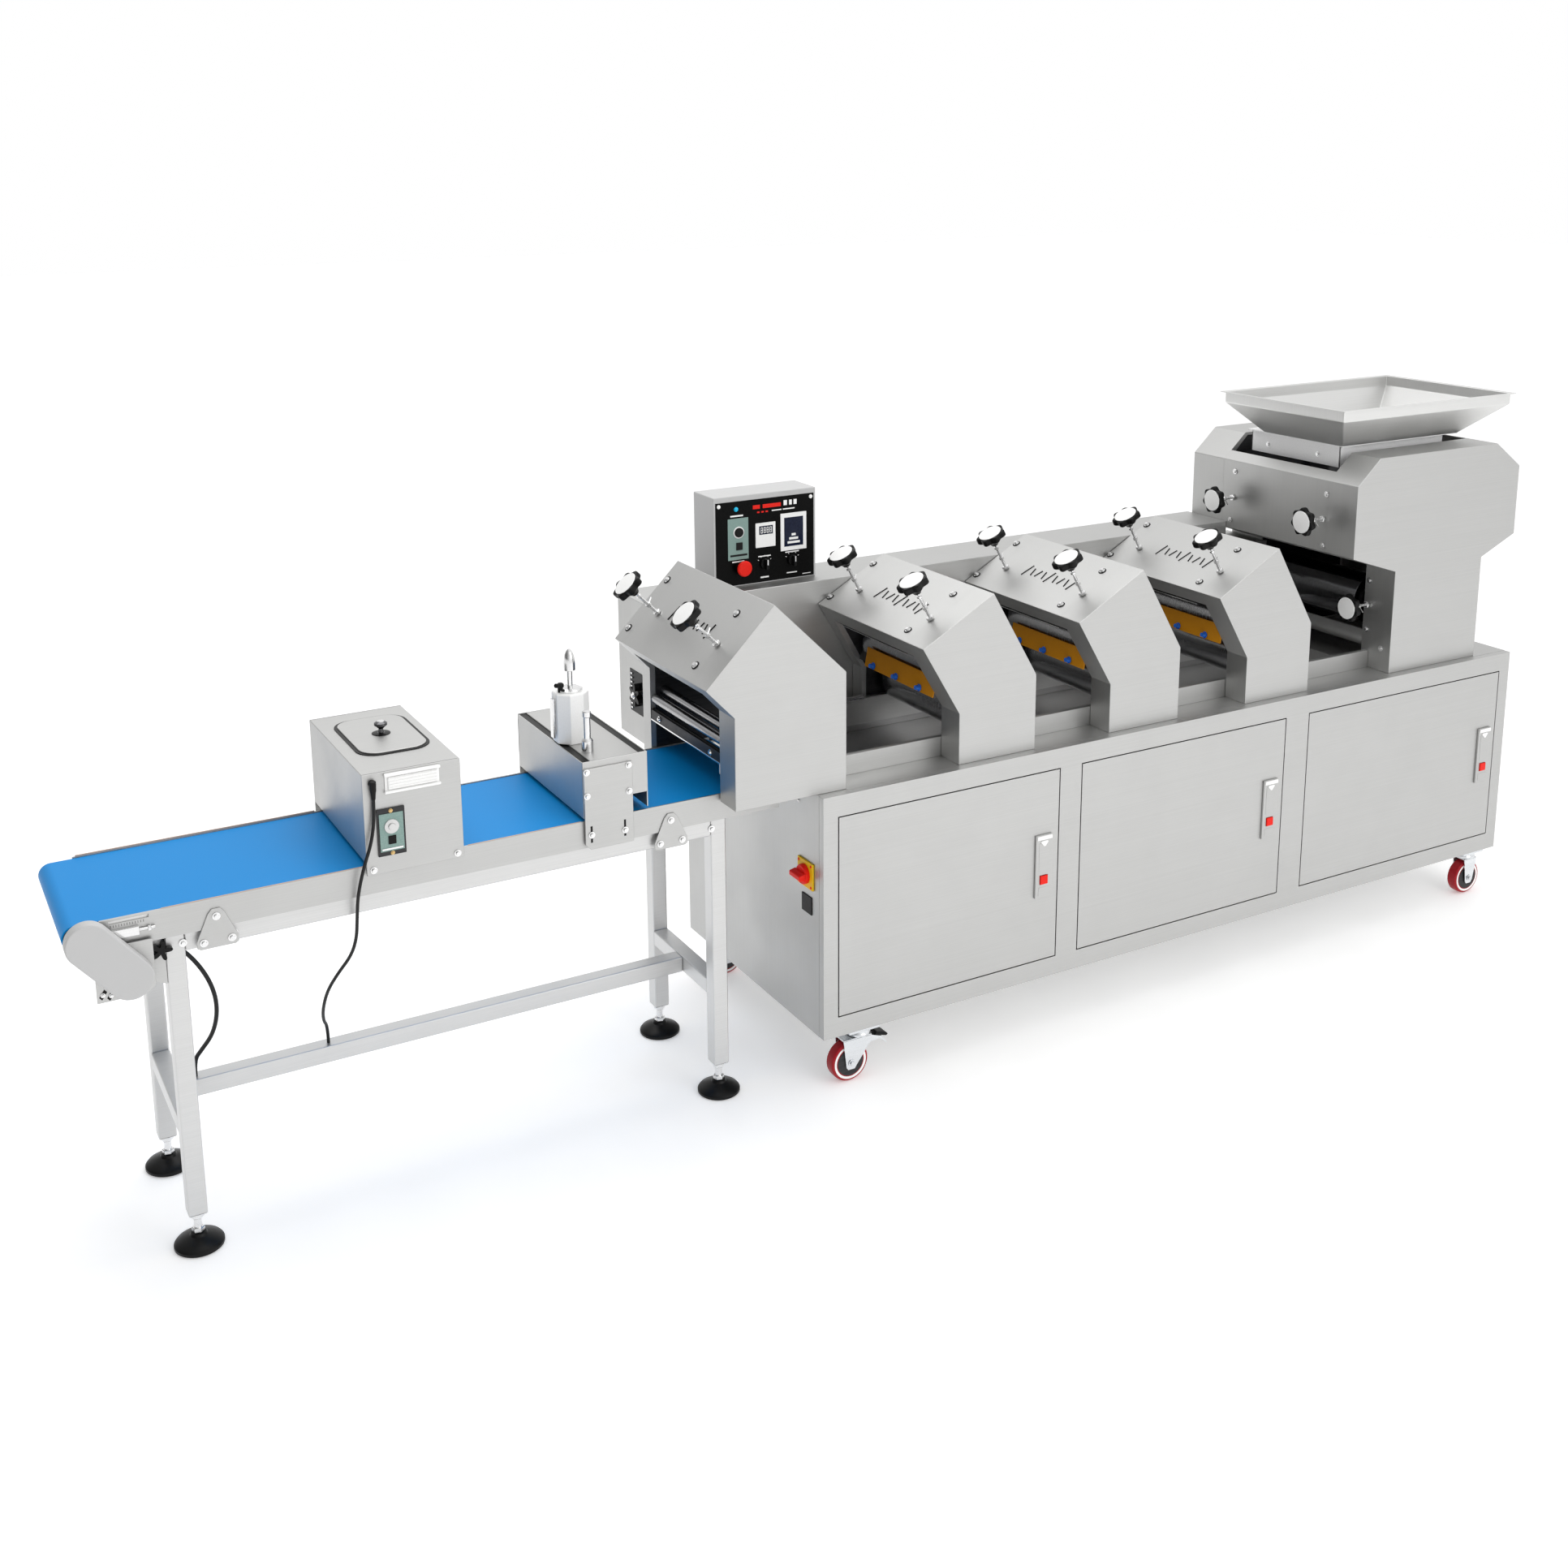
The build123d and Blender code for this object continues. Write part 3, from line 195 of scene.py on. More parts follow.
def remap(group, value, low, high, start=0.3, end=0.7):
    """A value between start and end, stretched to low and high."""
    ramp = add(group, "ShaderNodeMapRange", {"Value": value, "From Min": start, "From Max": end,
                                             "To Min": low, "To Max": high})
    return ramp.outputs["Result"]


ALONG_GRAIN = 2.5     # how many times per metre the brushed lines change along their length
GRAIN, g_in, g_out = shader_group(
    "Brushed grain",
    [("Lines per metre", "NodeSocketFloat", 700.0), ("Low", "NodeSocketFloat", 0.3),
     ("High", "NodeSocketFloat", 0.42)],
    ["Value", "Height"],
)
lines = g_in.outputs["Lines per metre"]
coords = add(GRAIN, "ShaderNodeTexCoord")
across = add(GRAIN, "ShaderNodeCombineXYZ", {"X": ALONG_GRAIN, "Y": lines, "Z": lines})
upright = add(GRAIN, "ShaderNodeCombineXYZ", {"X": lines, "Y": lines, "Z": ALONG_GRAIN})
facing = add(GRAIN, "ShaderNodeSeparateXYZ", {0: coords.outputs["Normal"]})
sideways = add(GRAIN, "ShaderNodeMath", {0: facing.outputs["X"]}, operation="ABSOLUTE")
is_side = add(GRAIN, "ShaderNodeMath", {0: sideways.outputs[0], 1: 0.9}, operation="GREATER_THAN")
pick = add(GRAIN, "ShaderNodeMix", {
    "Factor": is_side.outputs[0],
    "A": scaled_noise(GRAIN, coords.outputs["Object"], across.outputs[0], 3),
    "B": scaled_noise(GRAIN, coords.outputs["Object"], upright.outputs[0], 3)}, data_type="FLOAT")
gloss = remap(GRAIN, pick.outputs["Result"], g_in.outputs["Low"], g_in.outputs["High"])
give(GRAIN, g_out, Value=gloss, Height=pick.outputs["Result"])

MARKS, g_in, g_out = shader_group(
    "Handling marks",
    [("Value", "NodeSocketFloat", 0.35), ("Spread", "NodeSocketFloat", 0.06)],
    ["Value"],
)
coords = add(MARKS, "ShaderNodeTexCoord")
smudge = scaled_noise(MARKS, coords.outputs["Object"], (6, 6, 6), 4, 0.6)
swing = add(MARKS, "ShaderNodeMath", {0: remap(MARKS, smudge, -1.0, 1.0), 1: g_in.outputs["Spread"],
                                      2: g_in.outputs["Value"]}, operation="MULTIPLY_ADD")
give(MARKS, g_out, Value=swing.outputs[0])

SKIN, g_in, g_out = shader_group(
    "Moulded skin",
    [("Grains per metre", "NodeSocketFloat", 900.0), ("Low", "NodeSocketFloat", 0.35),
     ("High", "NodeSocketFloat", 0.5)],
    ["Value", "Height"],
)
coords = add(SKIN, "ShaderNodeTexCoord")
spread = add(SKIN, "ShaderNodeCombineXYZ", {axis: g_in.outputs["Grains per metre"] for axis in "XYZ"})
speck = scaled_noise(SKIN, coords.outputs["Object"], spread.outputs[0], 2)
gloss = remap(SKIN, speck, g_in.outputs["Low"], g_in.outputs["High"])
give(SKIN, g_out, Value=gloss, Height=speck)
print("shader groups:", [g.name for g in bpy.data.node_groups])

# %% [markdown]
# Finishes. Each has its own Principled shader. Steel takes its colour variation and gloss from
# the grain and the handling marks, and plastics, paint and rubber from the moulded skin. A
# flat colour with one gloss would be quicker, but it looks like plastic on every sheet. Two
# close colours, with the same noise in the gloss and the bump, give each finish a scale.

# %% Finishes
RELIEF_DEPTH = 0.0004
HANDLING = 0.04       # how much handling marks change the gloss of steel


def finish(name, low, high, group, settings, bump, rough=None, **sockets):
    """A material whose colour runs from low to high with a group's value, bumped by its height."""
    material = bpy.data.materials.new(name)
    material.use_nodes = True
    tree = material.node_tree
    shader = tree.nodes["Principled BSDF"]
    for socket, value in sockets.items():
        shader.inputs[socket.replace("_", " ")].default_value = value
    effect = add(tree, "ShaderNodeGroup", settings, node_tree=group)
    mix = remap(tree, effect.outputs["Height"], 0.0, 1.0)
    tint = add(tree, "ShaderNodeMix", {"Factor": mix, "A": (*low, 1), "B": (*high, 1)}, data_type="RGBA")
    gloss = effect.outputs["Value"]
    if rough is not None:
        marks = add(tree, "ShaderNodeGroup", {"Value": gloss, "Spread": rough}, node_tree=MARKS)
        gloss = marks.outputs["Value"]
    relief = add(tree, "ShaderNodeBump", {"Strength": bump, "Distance": RELIEF_DEPTH,
                                          "Height": effect.outputs["Height"]})
    for socket, value in (("Base Color", tint.outputs["Result"]), ("Roughness", gloss),
                          ("Normal", relief.outputs["Normal"])):
        tree.links.new(value, shader.inputs[socket])
    material.diffuse_color = (*high, 1)
    return material


def steel(name, low, high, lines, gloss, bump):
    """Brushed or polished steel."""
    return finish(name, low, high, GRAIN, {"Lines per metre": lines, "Low": gloss[0], "High": gloss[1]},
                  bump, rough=HANDLING, Metallic=1.0)


def moulded(name, low, high, grains, gloss, bump, **sockets):
    """Plastic, rubber or paint."""
    return finish(name, low, high, SKIN, {"Grains per metre": grains, "Low": gloss[0], "High": gloss[1]},
                  bump, **sockets)


STAINLESS = steel("brushed stainless", (0.50, 0.50, 0.492), (0.555, 0.555, 0.547), 1500, (0.42, 0.50), 0.03)
TUBE_STEEL = steel("brushed tube", (0.60, 0.60, 0.595), (0.66, 0.66, 0.655), 1300, (0.38, 0.46), 0.03)
HOPPER_STEEL = steel("pale hopper sheet", (0.70, 0.70, 0.69), (0.76, 0.76, 0.75), 1500, (0.42, 0.50), 0.03)
TROUGH_SHADE_STEEL = steel("trough steel darkened as painted shade", (0.42, 0.42, 0.42), (0.50, 0.50, 0.50), 1200, (0.32, 0.42), 0.04)
BRIGHT = steel("polished stainless", (0.74, 0.74, 0.74), (0.82, 0.82, 0.82), 400, (0.14, 0.24), 0.03)
ROLLER = steel("ground roller", (0.34, 0.34, 0.35), (0.44, 0.44, 0.45), 500, (0.18, 0.28), 0.03)
# darker copy of the roller finish: painted shade on the head's rollers, and the real dark polish of the duster's
# lid knob
DARK_POLISH_AND_SHADE = steel("dark polish and painted shade", (0.10, 0.10, 0.105), (0.15, 0.15, 0.155), 500, (0.14, 0.22), 0.03)
ZINC = steel("bright zinc", (0.70, 0.72, 0.74), (0.78, 0.80, 0.82), 60, (0.20, 0.30), 0.02)
BLACK = moulded("black moulding", (0.002, 0.002, 0.002), (0.005, 0.005, 0.005), 900, (0.30, 0.42), 0.2,
                Specular_IOR_Level=0.2)
FASCIA = moulded("black fascia", (0.001, 0.001, 0.001), (0.003, 0.003, 0.003), 300, (0.30, 0.36), 0.04,
                 Specular_IOR_Level=0.08)
# dark steel for real dark parts, and the same finish as painted shade on sheets inside the hoods, mouths and head
DARK_STEEL_AND_SHADE = steel("dark steel and painted shade", (0.04, 0.04, 0.042), (0.07, 0.07, 0.072), 400, (0.40, 0.55), 0.10)
WHITE = moulded("white moulding", (0.90, 0.90, 0.89), (0.95, 0.95, 0.94), 500, (0.30, 0.42), 0.05)
# near white stands in for the throat's bright reflection: painted reflection
THROAT_PAINTED_REFLECTION = moulded("bright throat sheet", (0.94, 0.94, 0.94), (0.98, 0.98, 0.98), 600, (0.25, 0.35), 0.03)
BOX_PAINT = moulded("light grey box paint", (0.50, 0.50, 0.50), (0.55, 0.55, 0.55), 1400, (0.42, 0.52), 0.12,
                    Specular_IOR_Level=0.3)
RED = moulded("red moulding", (0.78, 0.010, 0.004), (0.88, 0.018, 0.008), 600, (0.30, 0.40), 0.08,
              Specular_IOR_Level=0.2)
YELLOW = moulded("yellow moulding", (0.84, 0.50, 0.005), (0.90, 0.56, 0.01), 600, (0.34, 0.44), 0.08,
                 Specular_IOR_Level=0.2)
TYRE = moulded("red polyurethane", (0.30, 0.006, 0.012), (0.40, 0.010, 0.018), 500, (0.30, 0.44), 0.12,
               Specular_IOR_Level=0.25)
BELT = moulded("blue food belt", (0.0, 0.235, 0.62), (0.0, 0.262, 0.68), 1500, (0.40, 0.50), 0.12,
               Specular_IOR_Level=0.16)
BELT_EDGE = moulded("belt edge", (0.50, 0.36, 0.27), (0.62, 0.47, 0.38), 800, (0.5, 0.7), 0.2)
ORANGE = moulded("orange coating", (0.56, 0.215, 0.004), (0.66, 0.27, 0.008), 700, (0.36, 0.46), 0.1,
                 Specular_IOR_Level=0.2)
BLUE_BOLT = moulded("blue anodised screw", (0.01, 0.12, 0.60), (0.02, 0.18, 0.75), 600, (0.22, 0.32), 0.1)
ENAMEL = moulded("grey motor enamel", (0.30, 0.31, 0.32), (0.38, 0.39, 0.40), 700, (0.35, 0.5), 0.3)
PAD_GREEN = moulded("grey green keypad", (0.20, 0.31, 0.28), (0.27, 0.38, 0.35), 500, (0.3, 0.45), 0.08,
                    Specular_IOR_Level=0.25)
NAVY = moulded("dark display", (0.004, 0.008, 0.026), (0.008, 0.013, 0.038), 200, (0.16, 0.22), 0.02,
               Specular_IOR_Level=0.2)
CYAN = moulded("cyan lamp", (0.0, 0.45, 0.75), (0.0, 0.55, 0.85), 400, (0.2, 0.3), 0.05)
SHEATH = moulded("cable sheath", (0.005, 0.005, 0.005), (0.011, 0.011, 0.011), 700, (0.35, 0.5), 0.2,
                 Specular_IOR_Level=0.3)
BRASS = steel("brass screw", (0.55, 0.38, 0.16), (0.68, 0.49, 0.24), 400, (0.2, 0.3), 0.05)
print(len(bpy.data.materials), "finishes")

# %% [markdown]
# Sheet metal work. A Blank collects closed bodies in one mesh: folded prisms with soft bends,
# blocks, turned rods and sheets with openings. Only the bends and free edges are rounded, so
# that neighbouring sheets meet flush. A weighted normal modifier keeps the flats flat.

# %% Helpers for mesh work


class Blank:
    """A mesh in the making, measured in millimetres from the cabinet's corner."""

    def __init__(self):
        self.mesh = bmesh.new()
        self.part = None

    def _corner(self, cache, point):
        key = tuple(round(v, 3) for v in point)
        if key not in cache:
            cache[key] = self.part.verts.new(at(*key))
        return cache[key]

    def _close(self, rounded=None, radius=0.0, segments=3):
        """Rounds the chosen edges of the new body and adds it to the mesh."""
        part = self.part
        part.normal_update()
        bmesh.ops.recalc_face_normals(part, faces=part.faces)
        if radius > 0:
            edges = [e for e in part.edges if len(e.link_faces) == 2 and (rounded is None or rounded(e))
                     and e.calc_face_angle(0) > radians(8)]
            bmesh.ops.bevel(part, geom=edges, offset=radius * MM, offset_type="OFFSET", segments=segments,
                            profile=0.5, affect="EDGES", clamp_overlap=True)
        spare = bpy.data.meshes.new("spare")
        part.to_mesh(spare)
        self.mesh.from_mesh(spare)
        bpy.data.meshes.remove(spare)
        part.free()
        self.part = None

    def prism(self, outline, y0, y1, radius=1.5, ends=(True, True)):
        """An outline of (x, z) run from y0 to y1. Its bends are rounded, and the rims of the chosen ends."""
        self.part = bmesh.new()
        near = [self.part.verts.new(at(x, y0, z)) for x, z in outline]
        far = [self.part.verts.new(at(x, y1, z)) for x, z in outline]
        count = len(outline)
        for i in range(count):
            j = (i + 1) % count
            self.part.faces.new((near[i], near[j], far[j], far[i]))
        self.part.faces.new(near[::-1])
        self.part.faces.new(far)
        near_y, far_y = at(0, y0, 0).y, at(0, y1, 0).y

        def rounded(edge):
            ys = [v.co.y for v in edge.verts]
            if abs(ys[0] - ys[1]) > 1e-6:
                return True
            return (ends[0] and abs(ys[0] - near_y) < 1e-6) or (ends[1] and abs(ys[0] - far_y) < 1e-6)

        self._close(rounded, radius)
        return self

    def block(self, x0, x1, y0, y1, z0, z1, radius=0.6, segments=2):
        """A block with all its edges eased."""
        self.part = bmesh.new()
        cache = {}
        corners = [(x, y, z) for x in (x0, x1) for y in (y0, y1) for z in (z0, z1)]
        for face in ((0, 1, 3, 2), (4, 6, 7, 5), (0, 4, 5, 1), (2, 3, 7, 6), (0, 2, 6, 4), (1, 5, 7, 3)):
            self.part.faces.new([self._corner(cache, corners[i]) for i in face])
        self._close(None, radius, segments)
        return self

    def turned(self, start, axis, profile, sides=32):
        """A turned body: a profile of (radius, distance along the axis), closed at both ends."""
        self.part = bmesh.new()
        axis = Vector(axis).normalized()
        side = axis.orthogonal().normalized()
        other = axis.cross(side)
        rings = []
        for radius, along in profile:
            middle = at(*start) + axis * along * MM
            rings.append([self.part.verts.new(middle + (side * cos(2 * pi * i / sides)
                                                        + other * sin(2 * pi * i / sides)) * radius * MM)
                          for i in range(sides)])
        for low, high in zip(rings, rings[1:]):
            for i in range(sides):
                j = (i + 1) % sides
                self.part.faces.new((low[i], low[j], high[j], high[i]))
        self.part.faces.new(rings[0][::-1])
        self.part.faces.new(rings[-1])
        self._close()
        return self

    def rod(self, start, end, radius, sides=24, ease=0.5):
        """A round bar between two points with eased ends."""
        run = at(*end) - at(*start)
        length = run.length / MM
        return self.turned(start, run, [(radius - ease, 0), (radius, ease), (radius, length - ease),
                                        (radius - ease, length)], sides)

    def hex_nut(self, start, axis, across, height):
        """A six-sided nut or bolt head."""
        r = across / 2
        outline = [(r * 0.9, 0), (r, height * 0.1), (r, height * 0.85), (r * 0.88, height)]
        return self.turned(start, axis, outline, 6)

    def sheet_xz(self, xs, zs, openings, y0, y1, radius=0.6):
        """An upright sheet on a grid of x and z lines with whole cells left open."""
        return self._sheet(xs, zs, openings, y0, y1, lambda a, b, c: (a, c, b), radius)

    def sheet_xy(self, xs, ys, openings, z0, z1, radius=0.6):
        """A level sheet on a grid of x and y lines with whole cells left open."""
        return self._sheet(xs, ys, openings, z0, z1, lambda a, b, c: (a, b, c), radius)

    def _sheet(self, us, vs, openings, w0, w1, place, radius):
        self.part = bmesh.new()
        cache = {}
        solid = {(i, j) for i in range(len(us) - 1) for j in range(len(vs) - 1)} - set(openings)
        for i, j in solid:
            square = [(us[i], vs[j]), (us[i + 1], vs[j]), (us[i + 1], vs[j + 1]), (us[i], vs[j + 1])]
            for w in (w0, w1):
                self.part.faces.new([self._corner(cache, place(u, v, w)) for u, v in square])
            for k, step in enumerate(((0, -1), (1, 0), (0, 1), (-1, 0))):
                if (i + step[0], j + step[1]) not in solid:
                    a, b = square[k], square[(k + 1) % 4]
                    self.part.faces.new([self._corner(cache, place(u, v, w))
                                         for (u, v), w in ((a, w0), (b, w0), (b, w1), (a, w1))])
        self._close(None, radius, 2)
        return self


def band(outline, picks, thick):
    """The closed outline of a bent strip that follows some sides of a clockwise outline."""
    count = len(outline)
    outer = [outline[i % count] for i in range(picks[0], picks[-1] + 2)]
    inner = []
    for n, (x, z) in enumerate(outer):
        ways = []
        for a, b in ((n - 1, n), (n, n + 1)):
            if 0 <= a and b < len(outer):
                run = hypot(outer[b][0] - outer[a][0], outer[b][1] - outer[a][1])
                ways.append(((outer[b][0] - outer[a][0]) / run, (outer[b][1] - outer[a][1]) / run))
        if len(ways) == 1:
            ways = ways * 2
        turn = 1 + ways[0][0] * ways[1][0] + ways[0][1] * ways[1][1]
        inner.append((x + thick * (ways[0][1] + ways[1][1]) / turn,
                      z - thick * (ways[0][0] + ways[1][0]) / turn))
    return outer + inner[::-1]


def shade(mesh, angle=32):
    """Smooth shading with sharp edges kept where faces meet at more than the angle."""
    work = bmesh.new()
    work.from_mesh(mesh)
    for face in work.faces:
        face.smooth = True
    for edge in work.edges:
        edge.smooth = len(edge.link_faces) == 2 and edge.calc_face_angle(0) < radians(angle)
    work.to_mesh(mesh)
    work.free()


def set_piece(name, mesh, material, body="machine", slot="stainless", stands_for=(), weighted=True):
    """Puts a finished mesh into the scene as one named piece that rides on a body."""
    obj = bpy.data.objects.new(name, mesh)
    bpy.context.collection.objects.link(obj)
    mesh.materials.clear()
    mesh.materials.append(material)
    shade(mesh)
    if weighted:
        even = obj.modifiers.new("even shading", "WEIGHTED_NORMAL")
        even.keep_sharp = True
    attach(obj, body)
    if stands_for:
        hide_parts(*stands_for)
    return obj


def make(name, blank, material, **more):
    """Turns a blank into a piece."""
    mesh = bpy.data.meshes.new(name)
    blank.mesh.to_mesh(mesh)
    blank.mesh.free()
    return set_piece(name, mesh, material, **more)


def dress(node, material, ease=0.5):
    """A refined copy of an engineering part: welded, its flats joined and its edges eased."""
    work = bmesh.new()
    work.from_mesh(NODES[node].data)
    bmesh.ops.remove_doubles(work, verts=work.verts, dist=1e-6)
    bmesh.ops.dissolve_limit(work, angle_limit=radians(0.5), verts=work.verts, edges=work.edges)
    mesh = bpy.data.meshes.new(node + "_finished")
    work.to_mesh(mesh)
    work.free()
    slot = next(s["material_slot"] for s in frame["record"]["subparts"] if s["node"] == node)
    obj = set_piece(node + "_finished", mesh, material, body=NODES[node]["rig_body"], slot=slot,
                    stands_for=(node,), weighted=False)
    if ease:
        soft = obj.modifiers.new("eased edges", "BEVEL")
        soft.width = ease * MM
        soft.segments = 2
        soft.limit_method = "ANGLE"
        soft.angle_limit = radians(35)
        soft.harden_normals = True
    return obj


print("helpers ready")

# %% [markdown]
# Geometry Nodes make what repeats. The bolt tree puts a washer and a head on every point of a
# mesh, turned to a direction stored on the point. The ring tree lines up thin discs for screw
# threads and cooling ribs, and the bar tree lines up small bars for louvres and scale marks.
# The grip tree makes lobed knobs.

# %% Geometry Nodes trees


def geometry_tree(name, inputs):
    """A Geometry Nodes tree with its sockets, ending in Realize Instances and Set Material."""
    tree = bpy.data.node_groups.new(name, "GeometryNodeTree")
    tree.interface.new_socket("Geometry", in_out="INPUT", socket_type="NodeSocketGeometry")
    for label, kind, value in inputs:
        socket = tree.interface.new_socket(label, in_out="INPUT", socket_type=kind)
        if value is not None:
            socket.default_value = value
    tree.interface.new_socket("Material", in_out="INPUT", socket_type="NodeSocketMaterial")
    tree.interface.new_socket("Geometry", in_out="OUTPUT", socket_type="NodeSocketGeometry")
    start = add(tree, "NodeGroupInput")
    real = add(tree, "GeometryNodeRealizeInstances")
    paint = add(tree, "GeometryNodeSetMaterial", {"Geometry": real.outputs[0],
                                                  "Material": start.outputs["Material"]})
    add(tree, "NodeGroupOutput", {0: paint.outputs[0]})
    return tree, start, real


BOLTS, go, real = geometry_tree("Bolts on points", [
    ("Head radius", "NodeSocketFloat", 0.006), ("Head height", "NodeSocketFloat", 0.004),
    ("Washer radius", "NodeSocketFloat", 0.009), ("Sides", "NodeSocketInt", 24)])
washer = add(BOLTS, "GeometryNodeMeshCylinder", {"Vertices": 24, "Depth": 0.0012,
                                                 "Radius": go.outputs["Washer radius"]})
shoulder = add(BOLTS, "ShaderNodeMath", {0: go.outputs["Head radius"], 1: 0.78}, operation="MULTIPLY")
head = add(BOLTS, "GeometryNodeMeshCone", {
    "Vertices": go.outputs["Sides"], "Radius Top": shoulder.outputs[0],
    "Radius Bottom": go.outputs["Head radius"], "Depth": go.outputs["Head height"]})
both = add(BOLTS, "GeometryNodeJoinGeometry", {0: [washer.outputs["Mesh"], head.outputs["Mesh"]]})
way = add(BOLTS, "GeometryNodeInputNamedAttribute", {"Name": "facing"}, data_type="FLOAT_VECTOR")
turn = add(BOLTS, "FunctionNodeAlignRotationToVector", {"Vector": way.outputs["Attribute"]}, axis="Z")
put = add(BOLTS, "GeometryNodeInstanceOnPoints", {"Points": go.outputs["Geometry"],
                                                  "Instance": both.outputs[0],
                                                  "Rotation": turn.outputs[0]})
BOLTS.links.new(put.outputs[0], real.inputs[0])

RINGS, go, real = geometry_tree("Row of rings", [
    ("Count", "NodeSocketInt", 10), ("Pitch", "NodeSocketFloat", 0.002), ("Radius", "NodeSocketFloat", 0.004),
    ("Thickness", "NodeSocketFloat", 0.001)])
step = add(RINGS, "ShaderNodeCombineXYZ", {"Z": go.outputs["Pitch"]})
line = add(RINGS, "GeometryNodeMeshLine", {"Count": go.outputs["Count"], "Offset": step.outputs[0]})
ring = add(RINGS, "GeometryNodeMeshCylinder", {"Vertices": 24, "Radius": go.outputs["Radius"],
                                               "Depth": go.outputs["Thickness"]})
put = add(RINGS, "GeometryNodeInstanceOnPoints", {"Points": line.outputs[0], "Instance": ring.outputs["Mesh"]})
RINGS.links.new(put.outputs[0], real.inputs[0])

BARS, go, real = geometry_tree("Row of bars", [
    ("Count", "NodeSocketInt", 10), ("Step", "NodeSocketVector", (0, 0, 0.01)),
    ("Size", "NodeSocketVector", (0.01, 0.001, 0.001))])
line = add(BARS, "GeometryNodeMeshLine", {"Count": go.outputs["Count"], "Offset": go.outputs["Step"]})
bar = add(BARS, "GeometryNodeMeshCube", {"Size": go.outputs["Size"]})
put = add(BARS, "GeometryNodeInstanceOnPoints", {"Points": line.outputs[0], "Instance": bar.outputs["Mesh"]})
BARS.links.new(put.outputs[0], real.inputs[0])

GRIP, go, real = geometry_tree("Lobed grip", [
    ("Radius", "NodeSocketFloat", 0.031), ("Lobe depth", "NodeSocketFloat", 0.0035),
    ("Lobes", "NodeSocketInt", 7), ("Height", "NodeSocketFloat", 0.02)])
circle = add(GRIP, "GeometryNodeCurvePrimitiveCircle", {"Resolution": 112, "Radius": go.outputs["Radius"]})
where = add(GRIP, "GeometryNodeInputPosition")
split = add(GRIP, "ShaderNodeSeparateXYZ", {0: where.outputs[0]})
angle = add(GRIP, "ShaderNodeMath", {0: split.outputs["Y"], 1: split.outputs["X"]}, operation="ARCTAN2")
times = add(GRIP, "ShaderNodeMath", {0: angle.outputs[0], 1: go.outputs["Lobes"]}, operation="MULTIPLY")
wave = add(GRIP, "ShaderNodeMath", {0: times.outputs[0]}, operation="COSINE")
swell = add(GRIP, "ShaderNodeMath", {0: wave.outputs[0], 1: go.outputs["Lobe depth"]}, operation="MULTIPLY")
outward = add(GRIP, "ShaderNodeVectorMath", {0: where.outputs[0]}, operation="NORMALIZE")
shift = add(GRIP, "ShaderNodeVectorMath", {0: outward.outputs[0], "Scale": swell.outputs[0]}, operation="SCALE")
lobed = add(GRIP, "GeometryNodeSetPosition", {"Geometry": circle.outputs["Curve"], "Offset": shift.outputs[0]})
fill = add(GRIP, "GeometryNodeFillCurve", {"Curve": lobed.outputs[0]}, mode="NGONS")
raised = add(GRIP, "GeometryNodeExtrudeMesh", {"Mesh": fill.outputs[0], "Offset Scale": go.outputs["Height"]},
             mode="FACES")
under = add(GRIP, "GeometryNodeFlipFaces", {0: fill.outputs[0]})
both = add(GRIP, "GeometryNodeJoinGeometry", {0: [raised.outputs["Mesh"], under.outputs[0]]})
weld = add(GRIP, "GeometryNodeMergeByDistance", {"Geometry": both.outputs[0], "Distance": 1e-5})
GRIP.links.new(weld.outputs[0], real.inputs[0])


def grow(tree, base, material, **values):
    """Runs a tree on a mesh and gives the result back as a plain mesh."""
    obj = bpy.data.objects.new("growing", base or bpy.data.meshes.new("seed"))
    bpy.context.collection.objects.link(obj)
    grower = obj.modifiers.new("grow", "NODES")
    grower.node_group = tree
    values["Material"] = material
    for item in tree.interface.items_tree:
        if item.item_type == "SOCKET" and item.in_out == "INPUT" and item.name.replace(" ", "_") in values:
            grower[item.identifier] = values[item.name.replace(" ", "_")]
    bpy.context.view_layer.update()
    mesh = bpy.data.meshes.new_from_object(obj.evaluated_get(bpy.context.evaluated_depsgraph_get()))
    obj.modifiers.clear()
    bpy.data.objects.remove(obj)
    return mesh


def bolts(name, points, normal, material=BRIGHT, radius=5.5, height=4.0, washer_radius=8.0, sides=24, **more):
    """Bolt heads at a list of places, all facing along normal."""
    base = bpy.data.meshes.new(name + "_points")
    lift = Vector(normal).normalized() * height * 0.25 * MM
    base.from_pydata([at(*p) + lift for p in points], [], [])
    facing_to = base.attributes.new("facing", "FLOAT_VECTOR", "POINT")
    for item in facing_to.data:
        item.vector = normal
    mesh = grow(BOLTS, base, material, Head_radius=radius * MM, Head_height=height * MM,
                Washer_radius=washer_radius * MM, Sides=sides)
    return set_piece(name, mesh, material, weighted=False, **more)


def placed(mesh, start, axis, turned_by=0.0):
    """Moves a mesh made round the Z axis to a place and direction."""
    spin = Vector((0, 0, 1)).rotation_difference(Vector(axis)).to_matrix().to_4x4()
    mesh.transform(Matrix.Translation(at(*start)) @ spin @ Matrix.Rotation(turned_by, 4, "Z"))
    return mesh


print("trees:", [g.name for g in bpy.data.node_groups if g.bl_idname == "GeometryNodeTree"])

# %% [markdown]
# The two black cables come first. Each is one smooth NURBS spline with the same points as the
# engineering model. The duster's cable leaves its gland straight down, hangs in front of the
# conveyor and goes into the low stretcher. The motor's cable loops behind the front leg.

